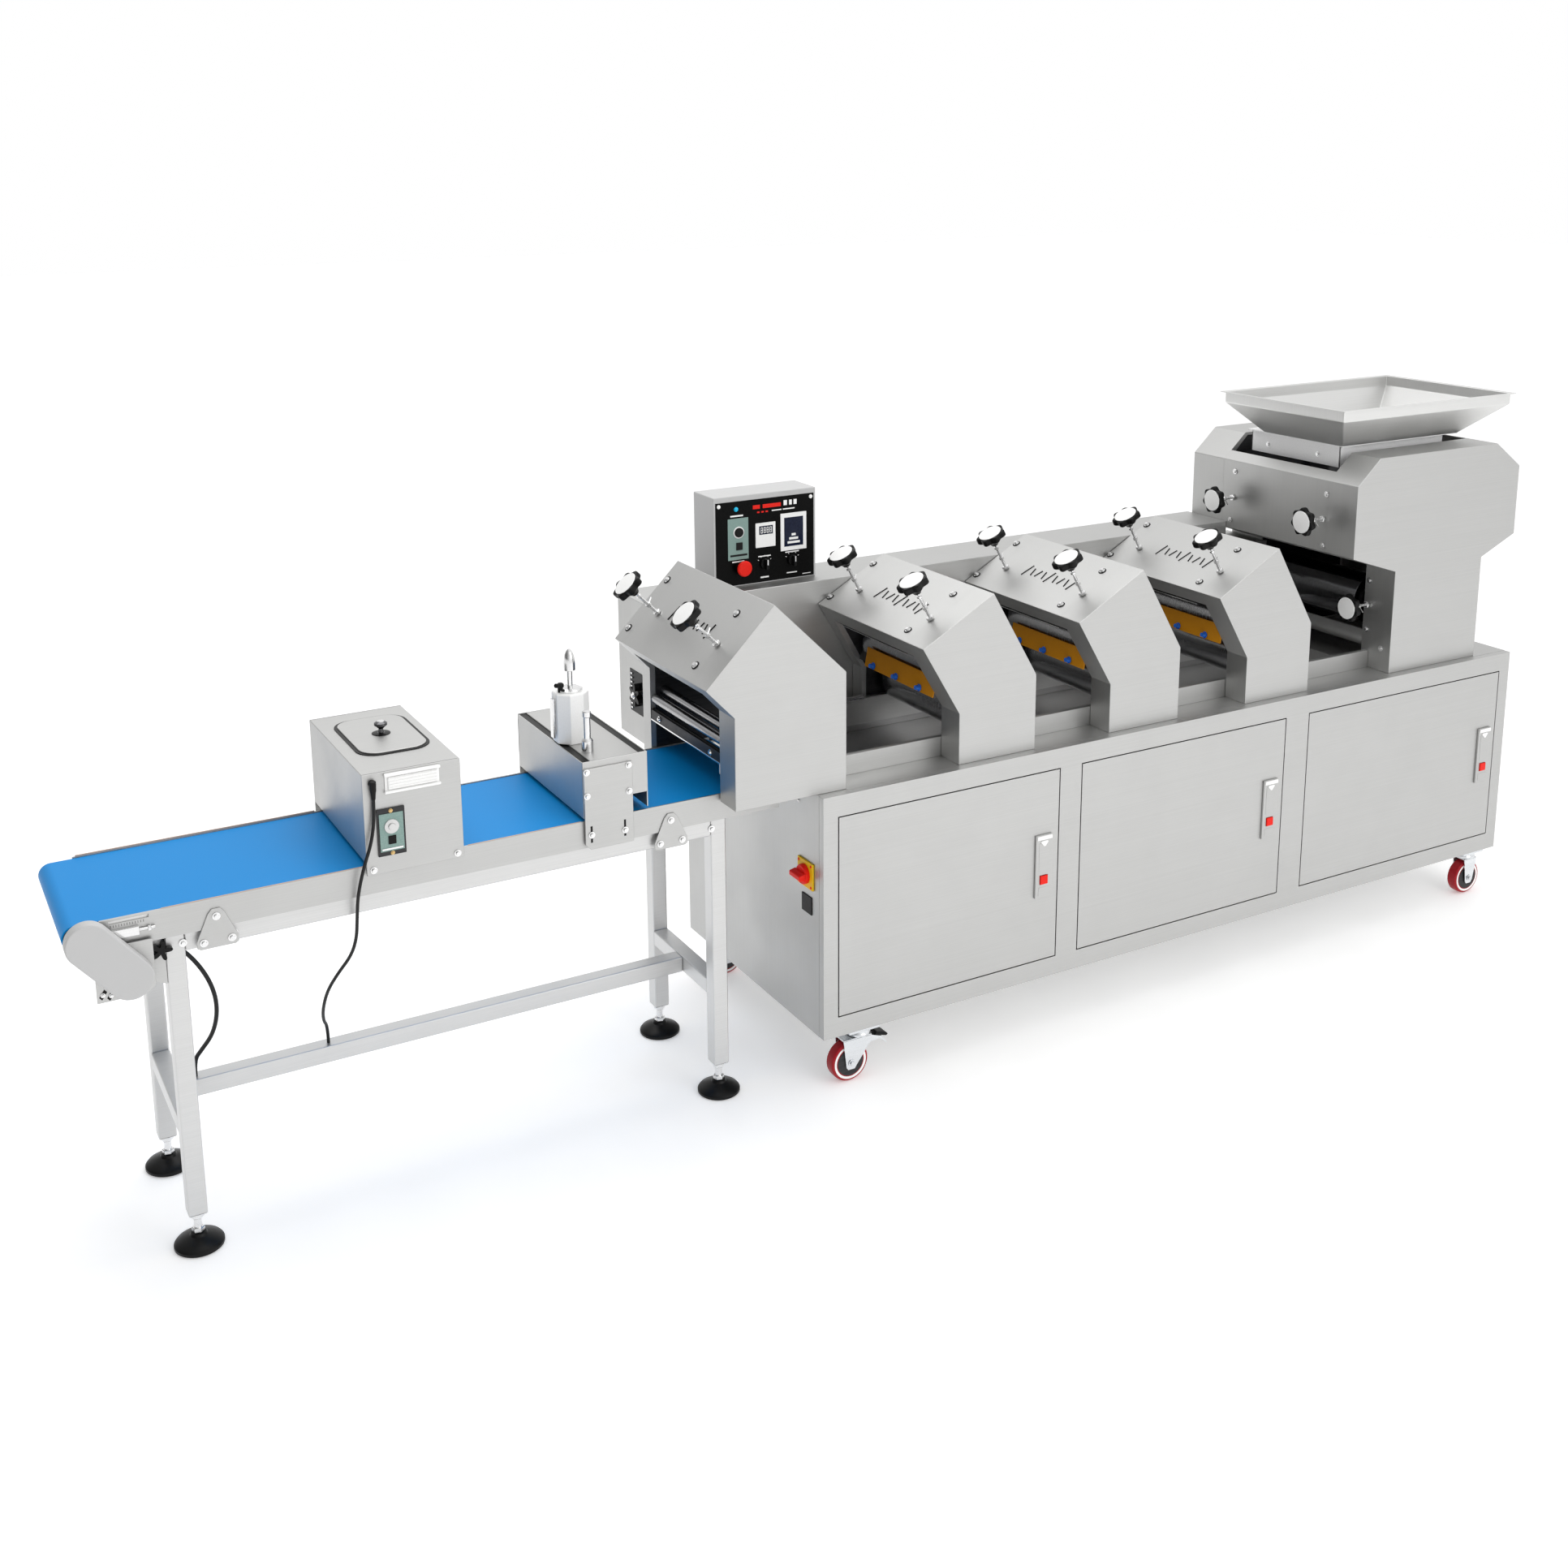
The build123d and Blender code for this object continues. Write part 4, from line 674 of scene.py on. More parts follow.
# %% Cables
DUSTER_CABLE = [(-998, 93, 915), (-998, 93, 866), (-1008, 87, 812), (-1028, 88, 758), (-1042, 92, 700),
                (-1044, 101, 648), (-1044, 114, 600), (-1052, 134, 554), (-1076, 160, 508), (-1093, 190, 460),
                (-1097, 224, 404), (-1089, 260, 358), (-1072, 300, 324), (-1072, 300, 284)]
MOTOR_CABLE = [(-1440, 216, 636), (-1405, 216, 636), (-1372, 213, 614), (-1344, 214, 576), (-1322, 218, 530),
               (-1310, 228, 482), (-1309, 242, 434), (-1318, 262, 386), (-1338, 286, 346), (-1352, 300, 320),
               (-1352, 300, 284)]


def cable(name, points, diameter, node):
    """A cable as a bevelled NURBS curve."""
    curve = bpy.data.curves.new(name, "CURVE")
    curve.dimensions = "3D"
    curve.bevel_depth = diameter / 2 * MM
    curve.bevel_resolution = 6
    curve.use_fill_caps = True
    spline = curve.splines.new("NURBS")
    spline.points.add(len(points) - 1)
    for target, point in zip(spline.points, points):
        target.co = (*at(*point), 1)
    spline.order_u = 3
    spline.use_endpoint_u = True
    spline.resolution_u = 8
    curve.materials.append(SHEATH)
    obj = bpy.data.objects.new(name, curve)
    bpy.context.collection.objects.link(obj)
    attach(obj, "machine")
    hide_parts(node)


cable("duster_lead", DUSTER_CABLE, 7, "duster_cable")
cable("motor_lead", MOTOR_CABLE, 9, "motor_cable")
print("cables laid")

# %% [markdown]
# The cabinet: a welded front frame with three door openings, plain side, back and floor
# sheets, and a deck that is left open over the trough. The front frame is one sheet on a grid
# with the door cells left out, so its posts and bands are one smooth piece.

# %% Cabinet
LENGTH, DEPTH, BOTTOM, DECK = 2305, 703, 135, 735
DOORS = [(42, 674), (745, 1428), (1515, 2263)]
DOOR_LOW, DOOR_HIGH, DOOR_GAP = 187, 681, 2.5
lines_x = [0]
for left, right in DOORS:
    lines_x += [left - DOOR_GAP, right + DOOR_GAP]
lines_x.append(LENGTH)
lines_z = [BOTTOM, DOOR_LOW - DOOR_GAP, DOOR_HIGH + DOOR_GAP, DECK]
carcass = Blank().sheet_xz(lines_x, lines_z, [(1, 1), (3, 1), (5, 1)], 0, 20, 1.2)
carcass.block(0, 3, 20, DEPTH, BOTTOM, DECK, 0)
carcass.block(LENGTH - 3, LENGTH, 20, DEPTH, BOTTOM, DECK, 0)
carcass.block(3, LENGTH - 3, 20, DEPTH, BOTTOM, BOTTOM + 3, 0)
carcass.block(3, LENGTH - 3, DEPTH - 3, DEPTH, BOTTOM + 3, DECK, 0)
carcass.sheet_xy([3, 57, 1838, LENGTH - 3], [20, 102.5, 467.5, DEPTH - 3], [(1, 1)], DECK - 3, DECK, 0)
make("cabinet_carcass", carcass, STAINLESS, stands_for=("cabinet_body",))
# folded black reveals behind the door gaps, painted shade so that a gap reads as a dark line
gap_shade = Blank()
for left, right in DOORS:
    xs = [left - 8, left + 8, right - 8, right + 8]
    zs = [DOOR_LOW - 8, DOOR_LOW + 8, DOOR_HIGH - 8, DOOR_HIGH + 8]
    gap_shade.sheet_xz(xs, zs, [(1, 1)], 20.5, 23, 0)
make("door_reveals", gap_shade, BLACK, slot="black_plastic")
make("mains_plate", Blank().block(-5.2, -0.2, 42, 112, 494, 560, 1.6), YELLOW, slot="red_plastic")
make("mains_blank", Blank().block(-2.6, -0.2, 52, 97, 430, 474, 0.8), BLACK, slot="black_plastic")
bolts("mains_screws", [(-5.2, 49, 501), (-5.2, 105, 553), (-5.2, 49, 553), (-5.2, 105, 501)], (-1, 0, 0),
      RED, 3, 1.2, 3.4, slot="red_plastic")
switch = Blank().turned((-5.5, 77, 527), (-1, 0, 0), [(24, 0), (24, 8), (22, 11), (20, 11.5)], 48)
switch.prism([(-34, 521), (-34, 533), (-16, 537), (-16, 517)], 52, 102, 3)
make("mains_switch", switch, RED, body="mains_handle", slot="red_plastic", stands_for=("mains_handle",))
bolts("cabinet_side_screw", [(0, 113, 694), (0, 640, 694)], (-1, 0, 0), BRIGHT, 4, 2.4, 5)
print("cabinet", LENGTH, "x", DEPTH)

# %% [markdown]
# Doors: flat sheets with eased rims. Each has a pressed latch plate with a square pocket for
# the red push button, and a white bar with a small finger grip at its top.

# %% Doors and latches
for number, (left, right) in enumerate(DOORS, start=1):
    body = f"door_{number}"
    skin = Blank().block(left, right, 0, 3, DOOR_LOW, DOOR_HIGH, 0.9, 3)
    skin.sheet_xz([left + 14, left + 17, right - 17, right - 14], [DOOR_LOW + 14, DOOR_LOW + 17, DOOR_HIGH - 17,
                  DOOR_HIGH - 14], [(1, 1)], 3, 14, 0)
    make(f"door_{number}_sheet", skin, STAINLESS, body=body, stands_for=(f"door_{number}",))
    middle = right - 46
    plate = Blank().sheet_xz([middle - 25, middle - 12, middle + 12, middle + 25], [356, 391, 415, 521],
                             [(1, 1)], -6, -0.2, 1.5)
    plate.block(middle - 16, middle + 16, -6.6, -5.8, 424, 500, 0.6)
    plate.block(middle - 16, middle + 16, -6.6, -5.8, 362, 384, 0.6)
    make(f"latch_plate_{number}", plate, STAINLESS, body=body)
    make(f"latch_pocket_{number}", Blank().block(middle - 12, middle + 12, -0.5, -0.1, 391, 415, 0), BLACK,
         body=body, slot="black_plastic")
    outline = [(middle - 23, 509), (middle + 23, 509), (middle + 22, 519), (middle - 22, 519)]
    lip = Blank().prism(outline, -8.5, -5.5, 1)
    lip.prism([(middle - 12, 503), (middle - 4, 494), (middle + 4, 494), (middle + 12, 503), (middle + 8, 506),
               (middle - 8, 506)], -7.8, -5.6, 0.8)
    lip.turned((middle, -6.6, 497), (0, -1, 0), [(5, 0), (5, 1.2), (3, 2), (0.6, 2.2)], 20)
    make(f"latch_lip_{number}", lip, WHITE, body=body, slot="black_plastic")
    button = Blank().block(middle - 11.3, middle + 11.3, -9, -3.6, 391.7, 414.3, 1.6, 3)
    make(f"latch_key_{number}", button, RED, body=f"latch_button_{number}", slot="red_plastic",
         stands_for=(f"latch_button_{number}",))
print(len(DOORS), "doors")

# %% [markdown]
# Each roller station is a folded hood: a closed box on either side, and over the gap between
# them a roof with a turned down front lip. The boxes are prisms whose bends and outer rims are
# rounded, and the roof strip is rounded only along its bends so that it runs on flush.

# %% Station hoods
NEAR, NEAR_IN, FAR_IN, FAR = 27.5, 102, 468, 512
STATION = [(0, 0), (0, 127), (-105, 301), (94, 410), (225, 190), (225, 0)]
ENDING = [(0, 0), (0, 218), (-70, 292), (102, 463), (287, 281), (287, 0)]
HOODS = [("station_1", 391, STATION), ("station_2", 847.5, STATION), ("station_3", 1304, STATION),
         ("end", -209, ENDING)]


def roof_frame(x, shape):
    """The lip corner, the direction up the roof and the direction out of it."""
    (lx, lz), (px, pz) = shape[2], shape[3]
    run = hypot(px - lx, pz - lz)
    up = ((px - lx) / run, (pz - lz) / run)
    return (x + lx, DECK + lz), up, (-up[1], up[0])


def on_roof(x, shape, along, y, out=0.0):
    """A point on a roof: so far up from its lip, across at y, and so far out of it."""
    (lx, lz), up, normal = roof_frame(x, shape)
    return (lx + up[0] * along + normal[0] * out, y, lz + up[1] * along + normal[1] * out)


LIP_FOLD = 44         # the lip that is turned down along a roof's lower edge
SHEET = 3
REFLECTION_STROKES, MARK_SPACING = 9, 23
LONG_MARK, SHORT_MARK, MARK_LEAN = 42, 26, 3.5
hoods = {}
for name, x, shape in HOODS:
    outline = [(x + px, DECK + pz) for px, pz in shape]
    hood = Blank()
    hood.prism(outline, NEAR, NEAR_IN, 1.6, (True, False))
    hood.prism(outline, FAR_IN, FAR, 1.6, (False, True))
    knee, lip = outline[1], outline[2]
    slope = hypot(lip[0] - knee[0], lip[1] - knee[1])
    hang = LIP_FOLD / slope
    start = (lip[0] + (knee[0] - lip[0]) * hang, lip[1] + (knee[1] - lip[1]) * hang)
    strip = band([start, lip, outline[3], outline[4], outline[5]], [0, 1, 2], SHEET)
    hood.prism(strip, NEAR_IN - 0.5, FAR_IN + 0.5, 1.6, (False, False))
    hoods[name] = hood
    normal = roof_frame(x, shape)[2]
    n3 = (normal[0], 0, normal[1])
    rows = (39, 187, 131, 490) if name == "end" else (34, 181, 138, 499)
    spots = [on_roof(x, shape, a, y) for a in rows[:2] for y in rows[2:]]
    bolts(f"{name}_roof_bolts", spots, n3, BRIGHT, 5.5, 6, 7.5, 24)
    bolts(f"{name}_roof_seats", spots, n3, BLACK, 6.4, 1.2, 10.5, 24)
    # black leaning strokes between the two adjusting screws: painted reflections of the screws, laid out as a
    # plain scale
    along = 104 if name == "end" else 88
    marks = Blank()
    for k in range(REFLECTION_STROKES):
        tall = LONG_MARK if k % 4 == 0 else SHORT_MARK
        lean = MARK_LEAN if k % 2 else -MARK_LEAN
        across = 176 + k * MARK_SPACING
        a = on_roof(x, shape, along + 18 - tall / 2, across - lean, 0.05)
        b = on_roof(x, shape, along + 18 + tall / 2, across + lean, 0.05)
        marks.rod(a, b, 2.0, 8, 0.3)
    make(f"{name}_scale", marks, BLACK, slot="black_plastic")
    # side frames and a dark liner, painted shade seen through the mouth
    inner = Blank()
    for y0, y1 in ((NEAR_IN + 0.3, NEAR_IN + 1.6), (FAR_IN - 1.6, FAR_IN - 0.3)):
        inner.prism([(x + 14, DECK + 6), (x + 14, knee[1]), (lip[0] + 22, lip[1] - 6),
                     (outline[3][0], outline[3][1] - 14), (outline[4][0] - 12, outline[4][1] - 4),
                     (outline[4][0] - 12, DECK + 6)], y0, y1, 0)
    make(f"{name}_side_frames", inner, DARK_STEEL_AND_SHADE)

stands_for = {"station_1": ("station_covers",), "end": ("end_cover",)}
for name, hood in hoods.items():
    make(f"{name}_hood", hood, STAINLESS, stands_for=stands_for.get(name, ()))
print("hoods made for", list(hoods))

# %% [markdown]
# The orange scraper plates stand in the mouths of the three stations, leaning on the upper
# rollers, with blue screws along their lower edge. A dark seal with a thin bright clamp strip
# runs under the lip of each roof.

# %% Scrapers and mouths
scraper = Blank()
FOOT, HEAD_EDGE = (-26, 150), (-17, 199)
for name, x, shape in HOODS[:3]:
    knee, lip = (x, DECK + 127), (x - 105, DECK + 301)
    slope = hypot(105, 174)
    dx, dz = -105 / slope, 174 / slope

    def on_knee(along, deep):
        return (knee[0] + dx * along + deep * dz, knee[1] + dz * along - deep * dx)

    foot, top = (x + FOOT[0], DECK + FOOT[1]), (x + HEAD_EDGE[0], DECK + HEAD_EDGE[1])
    scraper.prism([foot, top, (top[0] + SHEET, top[1]), (foot[0] + SHEET, foot[1])], NEAR_IN + 1.8, 412, 0.8)
    spots = [(foot[0] + 2, y, foot[1] + 10) for y in (162, 266, 370)]
    bolts(f"{name}_scraper_screws", spots, (-1, 0, 0.18), BLUE_BOLT, 7, 11, 9, 24)
    seal = Blank().prism([on_knee(148, 6), on_knee(158, 6), on_knee(158, 12), on_knee(148, 12)], NEAR_IN + 2,
                         FAR_IN - 2, 1)
    make(f"{name}_lip_seal", seal, BLACK, slot="black_plastic")
    strip = Blank().prism([on_knee(144, 5), on_knee(147, 5), on_knee(147, 8), on_knee(144, 8)], 150, 440, 0.6)
    make(f"{name}_seal_strip", strip, BRIGHT)
    # dark plates behind each scraper: painted shade in the mouth
    deep = Blank().prism([on_knee(60, 60), on_knee(190, 26), on_knee(190, 28), on_knee(62, 62)], NEAR_IN + 2,
                         FAR_IN - 2, 0.3)
    deep.prism([(x - 8, DECK + 152), (x + 1, DECK + 201), (x + 3, DECK + 201), (x - 6, DECK + 152)], 414,
               FAR_IN - 2, 0.3)
    make(f"{name}_shadow_plate", deep, DARK_STEEL_AND_SHADE)
make("scraper_set", scraper, ORANGE, slot="orange_plate", stands_for=("scraper_plates",))
mouth = Blank()
mouth.block(-208, -202, 103, 467, 826, 850, 1)
mouth.block(-202, -196, 103, 467, 846, 852, 1)
make("end_mouth_bar", mouth, DARK_STEEL_AND_SHADE)
make("end_mouth_edge", Blank().block(-209, -202, 103, 467, 823, 827, 0.8), BRIGHT)
bolts("end_mouth_bolts", [(-208, 150, 838), (-208, 420, 838)], (-1, 0, 0), BRIGHT, 5, 4, 7)
guide = Blank()
guide.rod((-195, 103, 875), (-195, 467, 875), 12, 32, 1)
guide.rod((-172, 103, 893), (-172, 467, 893), 12, 32, 1)
guide.rod((-205, 108, 800), (-205, 108, 826), 4, 16)
make("end_guide_rollers", guide, ROLLER, slot="roller_steel")
print("mouths fitted")

# %% [markdown]
# Rollers and their crossheads keep their engineering shape, welded and with eased edges, and
# get a ground finish; in the head a darker copy of it is painted shade. The trough, its rails
# and the drive keep theirs too. A thin darker lining over the trough is painted shade.

# %% Rollers, trough and drive
# the head's rollers take the darker copy of the roller finish: painted shade
for node in sorted(NODES):
    if node.endswith("_roller"):
        dress(node, DARK_POLISH_AND_SHADE if node.startswith("head") else ROLLER, 0.8)
dress("transfer_trough", STAINLESS, 0.4)
dress("drive_train", ENAMEL, 0.8)
TROUGH_X0, TROUGH_X1 = 63, 1834
# a darker lining over the trough's floor and rails: painted shade
pan = Blank()
pan.block(TROUGH_X0, TROUGH_X1, 106.9, 463, 693.2, 694.4, 0)
pan.block(TROUGH_X0, TROUGH_X1, 462, 463.2, 695, 780.5, 0)
pan.block(TROUGH_X0, TROUGH_X1, 106.8, 108, 695, 780.5, 0)
make("trough_lining", pan, TROUGH_SHADE_STEEL)
wall = Blank()
wall.block(TROUGH_X0, TROUGH_X1, 460.9, 461.8, 712, 780.4, 0)
make("trough_back_wall", wall, TUBE_STEEL)
ledges = Blank()
for left, right in ((80, 390), (617, 846), (1074, 1303), (1530, 1836)):
    ledges.block(left, right, 444, 462, 781.5, 784, 0.6)
    ledges.block(left, right, 452, 458, 784, 792, 1.5)
make("trough_slides", ledges, BRIGHT)
print("rollers:", sum(n.endswith("_roller") for n in NODES))

# %% [markdown]
# The rear cover runs behind the stations and carries the control box. Its left end has a slot
# with a black sheet in it as painted shade, where a short run of the drive chain and its small
# star wheel can be seen.

# %% Rear drive cover
REAR_TOP = 1097
COVER_END = 1672.5    # beyond this the cover is lower, behind the hopper head
COVER_Y0, COVER_Y1 = 514, 680
cover = Blank()
cover.prism([(-195, DECK + 0.3), (-195, REAR_TOP), (COVER_END, REAR_TOP), (COVER_END, DECK + 0.3)],
            COVER_Y0, COVER_Y1, 1.6)
cover.prism([(COVER_END, DECK + 0.3), (COVER_END, 1020), (1837.5, 1020), (1837.5, DECK + 0.3)],
            COVER_Y0, COVER_Y1, 1.2)
make("rear_cover_box", cover, STAINLESS, stands_for=("rear_drive_cover",))
# black sheet in the slot: painted shade
make("chain_slot", Blank().block(-196.2, -194.8, 541, 614, 806, 914, 0.5), BLACK, slot="black_plastic")
wheel_mesh = placed(grow(GRIP, None, BLACK, Radius=0.022, Lobe_depth=0.008, Lobes=6, Height=0.016),
                    (-197, 556, 860), (-1, 0, 0))
set_piece("chain_star_wheel", wheel_mesh, BLACK, slot="black_plastic")
bolts("chain_star_bolt", [(-213, 556, 860)], (-1, 0, 0), BRIGHT, 6, 5, 9)
chain = grow(BARS, None, BRIGHT, Count=9, Step=(0, 0, 11 * MM), Size=(3 * MM, 9 * MM, 4 * MM))
chain.transform(Matrix.Translation(at(-197.5, 600, 816)))
set_piece("drive_chain", chain, BRIGHT, slot="stainless_bright", weighted=False)
print("rear cover", REAR_TOP)

# %% [markdown]
# The hopper head: two side boxes with chamfered tops, a panel with a sloping top edge between
# them, a back and an underside. The two feed roller screws and the clamp screw come out of its
# left face. A curved chute hangs below the lower roller.

# %% Hopper head
HEAD_X = 1838
HEAD = [(0, 0), (0, 291), (-165, 345), (-165, 545), (-87, 615), (375, 615), (475, 543), (475, 345),
        (345, 291), (345, 0)]
head_outline = [(HEAD_X + x, DECK + z) for x, z in HEAD]
H_NEAR, H_NEAR_IN, H_FAR_IN, H_FAR = 27.5, 130, 535, 662
head = Blank()
head.prism(head_outline, H_NEAR, H_NEAR_IN, 1.8, (True, False))
head.prism(head_outline, H_FAR_IN, H_FAR, 1.8, (False, True))
notch_top = (HEAD_X - 139, DECK + 568)
face = band([*head_outline[1:4], notch_top], [0, 1, 2], SHEET)
head.prism(face, H_NEAR_IN - 0.5, H_FAR_IN + 0.5, 1.6, (False, False))
back = band(head_outline[5:], [0, 1, 2, 3], SHEET)
head.prism(back, H_NEAR_IN - 0.5, H_FAR_IN + 0.5, 1.6, (False, False))
make("head_box", head, STAINLESS, stands_for=("head_cover",))
bolts("head_panel_bolts", [(1673, 488, 1249), (1673, 136, 1242), (1673, 499, 1105), (1673, 139, 1098)],
      (-1, 0, 0), BRIGHT, 5, 5, 8)
bolts("head_column_bolts", [(1838, 116, 983), (1838, 116, 843), (1838, 60, 800)], (-1, 0, 0), BRIGHT, 5, 5, 8)
# dark sheets inside the head's side walls: painted shade
lining = Blank()
for y0, y1 in ((H_NEAR_IN + 0.3, H_NEAR_IN + 1.6), (H_FAR_IN - 1.6, H_FAR_IN - 0.3)):
    lining.prism([(1843, 742), (1843, 1024), (1690, 1082), (1690, 1274), (1760, 1342), (2200, 1342), (2290, 1270),
                  (2290, 1084), (2170, 1024), (2170, 742)], y0, y1, 0)
make("head_lining", lining, DARK_STEEL_AND_SHADE)
chute = Blank()
arc = [(1846 + 40 * (1 - cos(radians(a))), 834 - 92 * sin(radians(a)) * 0.6) for a in range(0, 91, 15)]
chute_line = arc + [(x + 3, z + 2) for x, z in arc[::-1]]
chute.prism(chute_line, H_NEAR_IN + 2, H_FAR_IN - 2, 0)
make("head_chute", chute, STAINLESS)
print("head", HEAD_X)

# %% [markdown]
# The hopper is four welded sheets: a rolled out rim, an upright lip, a deep funnel and below it
# a short throat of bright sheet, painted near white as its reflection. It is drawn as nested
# rectangles joined by quads, and then given thickness.

# %% Hopper
RIM = (1622, 2272, 45, 490)
MOUTH = (1725, 2180, 140, 436)
THROAT = (1744, 2150, 165, 500)


def rings(levels, thick):
    """A thin shell through rectangles of (x0, x1, y0, y1) at given heights."""
    shell = bmesh.new()
    loops = []
    for (x0, x1, y0, y1), z in levels:
        loops.append([shell.verts.new(at(x, y, z)) for x, y in ((x0, y0), (x1, y0), (x1, y1), (x0, y1))])
    for low, high in zip(loops, loops[1:]):
        for i in range(4):
            j = (i + 1) % 4
            shell.faces.new((low[i], low[j], high[j], high[i]))
    bmesh.ops.recalc_face_normals(shell, faces=shell.faces)
    bends = [e for e in shell.edges if len(e.link_faces) == 2 and e.calc_face_angle(0) > radians(8)]
    bmesh.ops.bevel(shell, geom=bends, offset=2.2 * MM, offset_type="OFFSET", segments=3, profile=0.5,
                    affect="EDGES")
    bmesh.ops.solidify(shell, geom=shell.faces[:], thickness=thick * MM)
    bmesh.ops.recalc_face_normals(shell, faces=shell.faces)
    return shell


def grown_by(rect, margin):
    return (rect[0] - margin, rect[1] + margin, rect[2] - margin, rect[3] + margin)


funnel = Blank()
funnel.mesh = rings([(grown_by(RIM, 10), 1486), (grown_by(RIM, -1.5), 1485.5), (grown_by(RIM, -1.5), 1456),
                     (grown_by(MOUTH, -1.5), 1369)], 2)
make("hopper_funnel", funnel, HOPPER_STEEL, slot="stainless_bright", stands_for=("hopper",))
# the throat's near white is a painted reflection of its bright sheet
throat = Blank()
throat.sheet_xy([1725, 1747, 2147, 2180], [140, 168, 433, 500], [(1, 1)], 1366, 1369, 0.5)
left, right, front, rear = THROAT
for x0, x1, y0, y1 in ((left, left + SHEET, front, rear), (right - SHEET, right, front, rear),
                       (left, right, front, front + SHEET), (left, right, rear - SHEET, rear)):
    throat.block(x0, x1, y0, y1, 1304, 1366, 0.5)
make("hopper_throat", throat, THROAT_PAINTED_REFLECTION, slot="stainless_bright")
bolts("throat_screws", [(1744, 435, 1330), (1744, 245, 1330)], (-1, 0, 0), BRIGHT, 5, 4, 7)
print("hopper rim", RIM)

# %% [markdown]
# The adjusting screws. Each is a lobed hand knob on a threaded stem with a collar nut where it
# enters the hood, a lock nut and a small cross pin. The knob is grown by a tree, because its
# outline is a rule: a circle that swells seven times. Its cap is a white disc.

# %% Adjusting screws and knobs
GRIP_RADIUS, GRIP_HEIGHT = 36.5, 18


def local_mm(metres):
    """A point of the record in millimetres from the cabinet's corner."""
    return ((metres[0] - CORNER.x) / MM, (metres[1] - CORNER.y) / MM, metres[2] / MM)


def hand_knob(body, joint, reach, plain_end):
    """The grip, cap, stem and nuts of one adjusting screw, on a joint's axis."""
    axis = Vector(joint["axis"]).normalized()
    base = local_mm(joint["pos_m"])
    slot = "black_plastic"

    def up(distance):
        return tuple(base[i] + axis[i] * distance for i in range(3))

    grip = placed(grow(GRIP, None, BLACK, Radius=GRIP_RADIUS * MM, Lobe_depth=3.4 * MM, Lobes=7,
                       Height=GRIP_HEIGHT * MM), up(reach + 4), axis)
    obj = set_piece(f"{body}_grip", grip, BLACK, body=body, slot=slot, stands_for=(body,), weighted=False)
    soft = obj.modifiers.new("rounded rim", "BEVEL")
    soft.width = 4.0 * MM
    soft.segments = 3
    soft.limit_method = "ANGLE"
    soft.angle_limit = radians(50)
    hub = Blank().turned(up(reach - 16), axis, [(9, 0), (10, 2), (14, 9), (29, 21), (29, 24)], 40)
    make(f"{body}_hub", hub, BLACK, body=body, slot=slot)
    cap = Blank().turned(up(reach + 4 + GRIP_HEIGHT - 2.5), axis,
                         [(30.5, 0), (30.5, 2.6), (29.5, 3.3), (16, 4.0), (3, 4.3), (0.5, 4.3)], 56)
    make(f"{body}_cap", cap, WHITE, body=body, slot=slot)
    stem = Blank().rod(up(-plain_end), up(reach), 3.4, 16)
    stem.hex_nut(up(2), axis, 19, 7)
    stem.hex_nut(up(reach - 30), axis, 13, 6)
    stem.turned(up(30), axis, [(5, 0), (6.5, 2), (6.5, 9), (5, 11)], 20)
    cross = axis.orthogonal().normalized()
    side = tuple(up(35)[i] + cross[i] * 22 for i in range(3))
    stem.rod(up(35), side, 1.8, 10, 0.4)
    make(f"{body}_stem", stem, BRIGHT, body=body, slot="zinc")
    thread = placed(grow(RINGS, None, BRIGHT, Count=int((reach - 46) / 1.75), Pitch=1.75 * MM, Radius=4.0 * MM,
                         Thickness=0.8 * MM), up(12), axis)
    set_piece(f"{body}_thread", thread, BRIGHT, body=body, slot="zinc", weighted=False)


knob_count = 0
for joint in frame["joints"]:
    body = joint["child"]
    if body.endswith("_knob") and body not in ("speed_knob", "mode_knob"):
        head_side = body.startswith("head")
        hand_knob(body, joint, 62 if head_side else 96, 0 if body == "head_clamp_knob" else 12)
        knob_count += 1
print(knob_count, "hand knobs")

# %% [markdown]
# The control box: light grey enamel with a black fascia that holds a keypad, a small counter, a
# display in a white frame, a lamp, a stop button and two selector dials. The legends are plain
# bars and the display shows a plain shape, so nothing on it is a real mark.

# %% Control box
BOX_X0, BOX_X1, BOX_Y = 15, 308, 560
BOX_BOTTOM, BOX_TOP = REAR_TOP + 0.3, 1330
box_outline = [(BOX_X0, BOX_BOTTOM), (BOX_X0, BOX_TOP), (BOX_X1, BOX_TOP), (BOX_X1, BOX_BOTTOM)]
box = Blank().prism(box_outline, BOX_Y, 668, 2.5)
make("control_case", box, BOX_PAINT, stands_for=("control_box",))
Y_FASCIA = BOX_Y - 1.0
make("control_fascia", Blank().block(21, 302, Y_FASCIA, BOX_Y - 0.1, 1101, 1316, 0.6), FASCIA,
     slot="black_plastic")


def panel(name, x0, x1, z0, z1, deep, material, slot="black_plastic", radius=0.8):
    """A small raised plate on the fascia."""
    make(name, Blank().block(x0, x1, Y_FASCIA - deep, Y_FASCIA - 0.05, z0, z1, radius), material, slot=slot)


